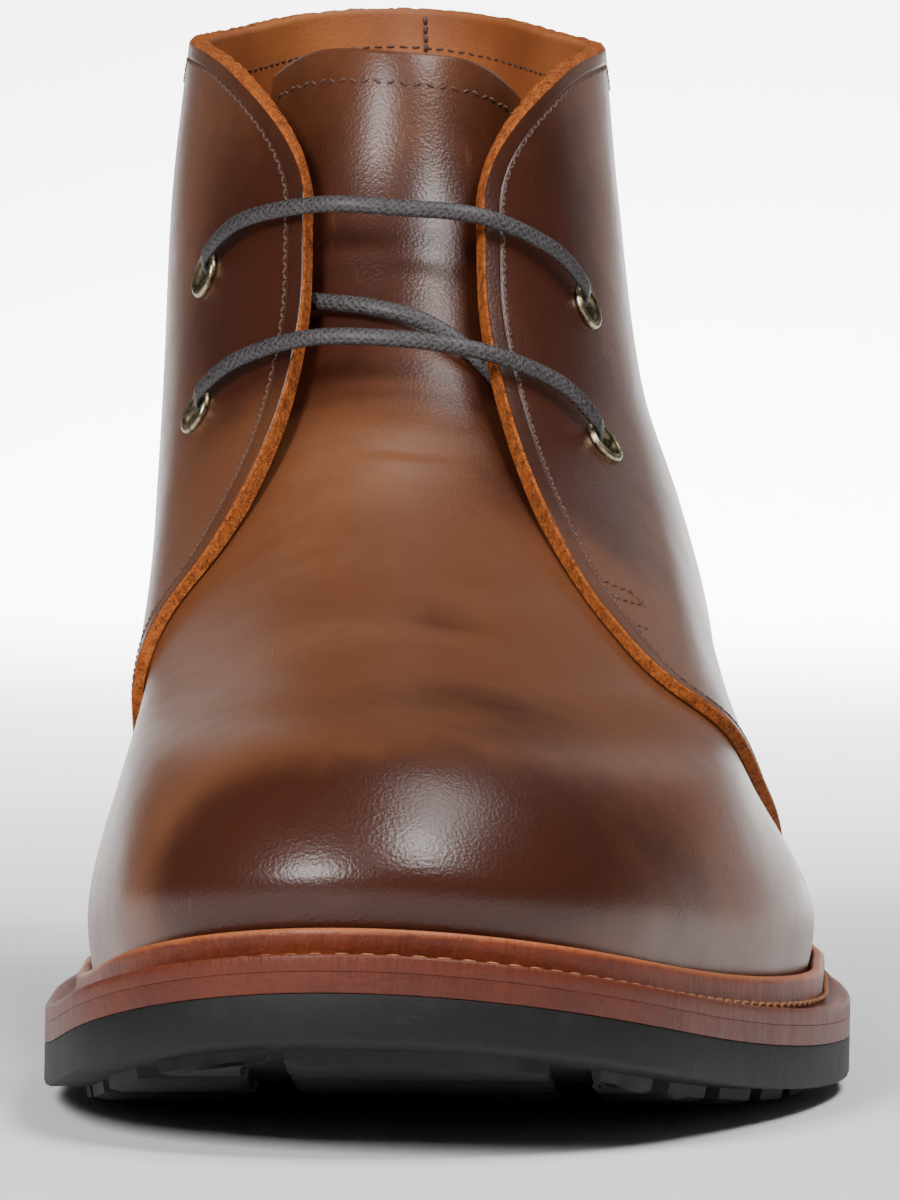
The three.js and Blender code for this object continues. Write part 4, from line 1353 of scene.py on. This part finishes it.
# %% Stitch rows
def beside(level, angle, distance):
    """Moves a line on the surface sideways: its sideways direction is split between the two
    tangents of the surface, by the two-by-two equations of least squares."""
    d = 0.001
    up = (surface(level + d, angle) - surface(level - d, angle)) / (2 * d)
    around = (surface(level, angle + d) - surface(level, angle - d)) / (2 * d)
    line = surface(level, angle)
    side = unit(np.cross(unit(np.cross(around, up)), unit(np.gradient(line, axis=0)))) * distance
    a, b, c = (up * up).sum(-1), (up * around).sum(-1), (around * around).sum(-1)
    p, q = (up * side).sum(-1), (around * side).sum(-1)
    bottom = a * c - b * b
    return level + (p * c - q * b) / bottom, angle + (q * a - p * b) / bottom


def stitch_row(line, normals, pitch, length, radius, sway=0.0):
    """Beads along a line: each is a bent capsule, highest in its middle, ends below the leather.
    sway turns every other bead a little, as a hand-guided machine does."""
    total = np.linalg.norm(np.diff(line, axis=0), axis=1).sum()
    count = max(2, int(total / pitch))
    spots = evenly(line, count * 2 + 1)
    middles = spots[1::2]
    along = unit(spots[2::2] - spots[:-1:2])
    share = np.linspace(0, 1, len(line))
    even = (np.arange(count) + 0.5) / count
    up = unit(np.stack([np.interp(even, share, normals[:, k]) for k in range(3)], -1))
    side = np.cross(up, along)
    swayed = sway * np.where(np.arange(count) % 2 == 0, 1, -1)[:, None]
    along = unit(along + side * swayed)
    side = np.cross(up, along)
    s = np.linspace(-1, 1, 7)
    girth = radius * np.sqrt(np.clip(1 - s**4, 0.06, 1))
    height = radius * (0.55 - 1.5 * s**4)
    t = np.linspace(0, 2 * np.pi, 6, endpoint=False)
    spine = (middles[:, None] + along[:, None] * (s * length / 2)[None, :, None]
             + up[:, None] * height[None, :, None])
    ring = (np.cos(t)[None, None, :, None] * side[:, None, None]
            + np.sin(t)[None, None, :, None] * up[:, None, None])
    points = spine[:, :, None] + ring * girth[None, :, None, None]
    one = carried(points[0])[1]
    faces = one[None] + (np.arange(count) * len(s) * len(t))[:, None, None]
    return points.reshape(-1, 3), faces.reshape(-1, 4)


def row_on_skin(level, angle, height, pitch=1.15, length=1.35, radius=0.22, sway=0.5):
    line = skin(level, angle, height)
    return stitch_row(line, outward(level, angle), pitch, length, radius, sway)


def quarter_boundary():
    """Levels and angles along the quarters' cut edge, up the outer facing, round and down again."""
    t = np.linspace(0.02, 1, 260)
    level_up = t * FACING_TOP
    eased = np.concatenate([np.linspace(0, 0.02, 60)[1:], np.linspace(0.02, 0.98, 900),
                            np.linspace(0.98, 1, 60)[:-1]])
    top = collar_level(eased)
    top_angle = mix(facing_edge(top, 1), 2 * np.pi - facing_edge(top, -1), eased)
    level = np.concatenate([level_up, top, level_up[::-1]])
    angle = np.concatenate([facing_edge(level_up, 1), top_angle,
                            2 * np.pi - facing_edge(level_up[::-1], -1)])
    return level, angle


def respaced(level, angle, count=1400):
    """The same boundary with even steps along its length on the boot."""
    line = surface(level, angle)
    length = np.concatenate([[0], np.cumsum(np.linalg.norm(np.diff(line, axis=0), axis=1))])
    even = np.linspace(0, length[-1], count)
    return np.interp(even, length, level), np.interp(even, length, angle)


edge_level, edge_angle = respaced(*quarter_boundary())
SEAM_INSET = 3.1
inset_level, inset_angle = beside(edge_level, edge_angle, SEAM_INSET)
if (inset_angle - edge_angle)[50:400].mean() < 0:
    inset_level, inset_angle = beside(edge_level, edge_angle, -SEAM_INSET)


def pixel_row(pixels, pitch=1.3, length=1.35):
    """A row of stitches from place to place on the quarters, each place read from a pixel."""
    places = np.array([at_pixel(*pixel) for pixel in pixels])
    t = np.linspace(0, len(pixels) - 1, 120)
    level, angle = (np.interp(t, np.arange(len(pixels)), places[:, k]) for k in (0, 1))
    return row_on_skin(level, angle, QUARTER_FRONT - 0.1, pitch, length, 0.26, 0.1)


SEAM_SPACING = 1.6
second_level, second_angle = beside(inset_level, inset_angle,
                                    np.sign(inset_angle - edge_angle).mean() * SEAM_SPACING)
inside_height = -QUARTER_BACK + 0.05
collar = slice(340, -340)
inside_line = skin(inset_level[collar], inset_angle[collar], inside_height)
inside_up = -outward(inset_level[collar], inset_angle[collar])
low = slice(8, 250)
quarter_rows = [
    row_on_skin(inset_level[8:-8], inset_angle[8:-8], QUARTER_FRONT - 0.1),
    row_on_skin(second_level[low], second_angle[low], QUARTER_FRONT - 0.1, 1.5, 1.3, 0.2, 0.1),
    pixel_row([(599, 586), (628, 599), (641, 613), (616, 604), (602, 595)]),
    pixel_row([(632, 630), (645, 637)], 0.8, 0.9),
]
points, faces = join(quarter_rows)
make_piece("quarter_stitches", points, faces, [brown_thread], sharp=70)
seam_level = np.linspace(0.55, 0.99, 200)
seam_angle = np.full(200, math.pi - 0.14)
lining_rows = [stitch_row(inside_line, inside_up, 2.0, 1.6, 0.2, 0.1),
               stitch_row(skin(seam_level, seam_angle, inside_height),
                          -outward(seam_level, seam_angle), 1.4, 1.6, 0.35, 0.1)]
points, faces = join(lining_rows)
make_piece("lining_stitches", points, faces, [brown_thread], sharp=70)

# %% Stitches on the tongue and the welt
TONGUE_HEM = 0.042
u = np.linspace(0.06, 0.94, 200)
tongue_top = TONGUE_TOP - CORNER_DROP * np.abs(2 * u - 1)**3 - TONGUE_SLANT * (2 * u - 1)
half = np.radians(smooth(tongue_levels, tongue_half, tongue_top))
tongue_angle = mix(-half, half, u)
hem_level = tongue_top - TONGUE_HEM
points, faces = row_on_skin(hem_level, tongue_angle, -sink(hem_level) - 0.05, 1.9, 1.5)
points[:, 2] += tongue_lift(TONGUE_TOP - TONGUE_HEM)
make_piece("tongue_stitches", points, faces, [brown_thread], sharp=70)

line = channel(np.linspace(0, 2 * np.pi, 1500), 0.12, -0.4)
up = np.broadcast_to([0.0, 0.0, 1.0], line.shape)
points, faces = stitch_row(line, up, 3.3, 2.9, 0.34)
make_piece("welt_stitches", points, faces, [tan_thread], sharp=70)

# %% [markdown]
# ## Floor and light
# Leather is mostly what it reflects, so the light matters as much as the material. Each box stands
# where the leather mirrors it towards the camera: two tall dim ones behind the boot give the pale
# bands along both sides, one in front gives the spot on the toe, one on the right the streak on the
# tongue, and one hangs beside the boot. Two boxes with grids light only the floor and its rise
# behind the boot, so that the background is bright and little haze lies on the leather.


# %% Floor
def floor_sweep():
    """The floor's section: flat in front, then the start of a circle up at the back, carried
    sideways. It stops just above the picture, so a camera behind the boot looks over it."""
    bend_start, bend_radius, reach = 1600, 1200, 6000
    flat = np.stack([np.linspace(-reach, bend_start, 20), np.zeros(20)], -1)
    bend = np.linspace(0, math.radians(38), 24)
    curve = np.stack([bend_start + bend_radius * np.sin(bend), bend_radius * (1 - np.cos(bend))], -1)
    section = np.concatenate([flat, curve[1:]])
    x = np.linspace(-reach, reach, 13)
    grid = np.zeros((len(x), len(section), 3))
    grid[..., 0] = x[:, None]
    grid[..., 1:] = section[None]
    return grid


def pale_floor(name):
    look = Look(name)
    cloud = look.noise(400, 2)
    return look.finish(Base_Color=look.blend(colour("f2f2f2"), colour("f7f7f7"), cloud),
                       Roughness=0.7 + cloud * 0.1)


grid = floor_sweep()
sweep = bpy.data.meshes.new("floor")
sweep.from_pydata((grid.reshape(-1, 3) * MM).tolist(), [], grid_faces(*grid.shape[:2]).tolist())
sweep.materials.append(pale_floor("pale_floor"))
sweep.shade_smooth()
floor = bpy.data.objects.new("floor", sweep)
bpy.context.scene.collection.objects.link(floor)


# %% Lights
def soft_box(name, place, target, size, power, spread=180):
    """A rectangular light of a size in metres at a place, turned towards a target. A smaller spread
    in degrees stands for a grid in front of the box, which keeps its light to one patch."""
    light = bpy.data.lights.new(name, "AREA")
    light.shape = "RECTANGLE"
    light.size, light.size_y = size
    light.energy = power
    light.spread = math.radians(spread)
    lamp = bpy.data.objects.new(name, light)
    bpy.context.scene.collection.objects.link(lamp)
    back = unit(np.array(place, float) - target)
    upright = [0.0, 1.0, 0.0] if back[2] > 0.85 else [0.0, 0.0, 1.0]
    right = unit(np.cross(upright, back))
    axes = np.stack([right, np.cross(back, right), back], 1)
    lamp.matrix_world = Matrix.Translation(place) @ Matrix(axes.tolist()).to_4x4()


middle = np.array([0.0, -0.02, 0.07])
soft_box("left_box", (-0.55, 1.7, 0.4), middle, (0.5, 1.0), 0.9)
soft_box("right_box", (0.65, 1.65, 0.5), middle, (0.55, 1.3), 1.1)
soft_box("front_box", (-0.69, -1.35, 1.05), middle, (0.5, 0.75), 36)
soft_box("tongue_box", (0.75, -0.82, 1.8), middle, (0.52, 0.6), 26)
soft_box("top_box", (0.75, 0.0, 1.9), np.array([0.75, 0.05, 0.0]), (0.8, 1.0), 16)
soft_box("floor_box", (0.0, 1.2, 1.9), np.array([0.0, 1.15, 0.0]), (0.6, 0.6), 18, 55)
soft_box("backdrop_box", (0.0, 0.9, 1.5), np.array([0.0, 1.85, 0.0]), (0.8, 0.5), 46, 60)
WORLD_STRENGTH = 0.07
world = bpy.data.worlds.new("studio")
world.use_nodes = True
background = world.node_tree.nodes["Background"]
background.inputs["Color"].default_value = (1.0, 1.0, 1.0, 1.0)
background.inputs["Strength"].default_value = WORLD_STRENGTH
bpy.context.scene.world = world
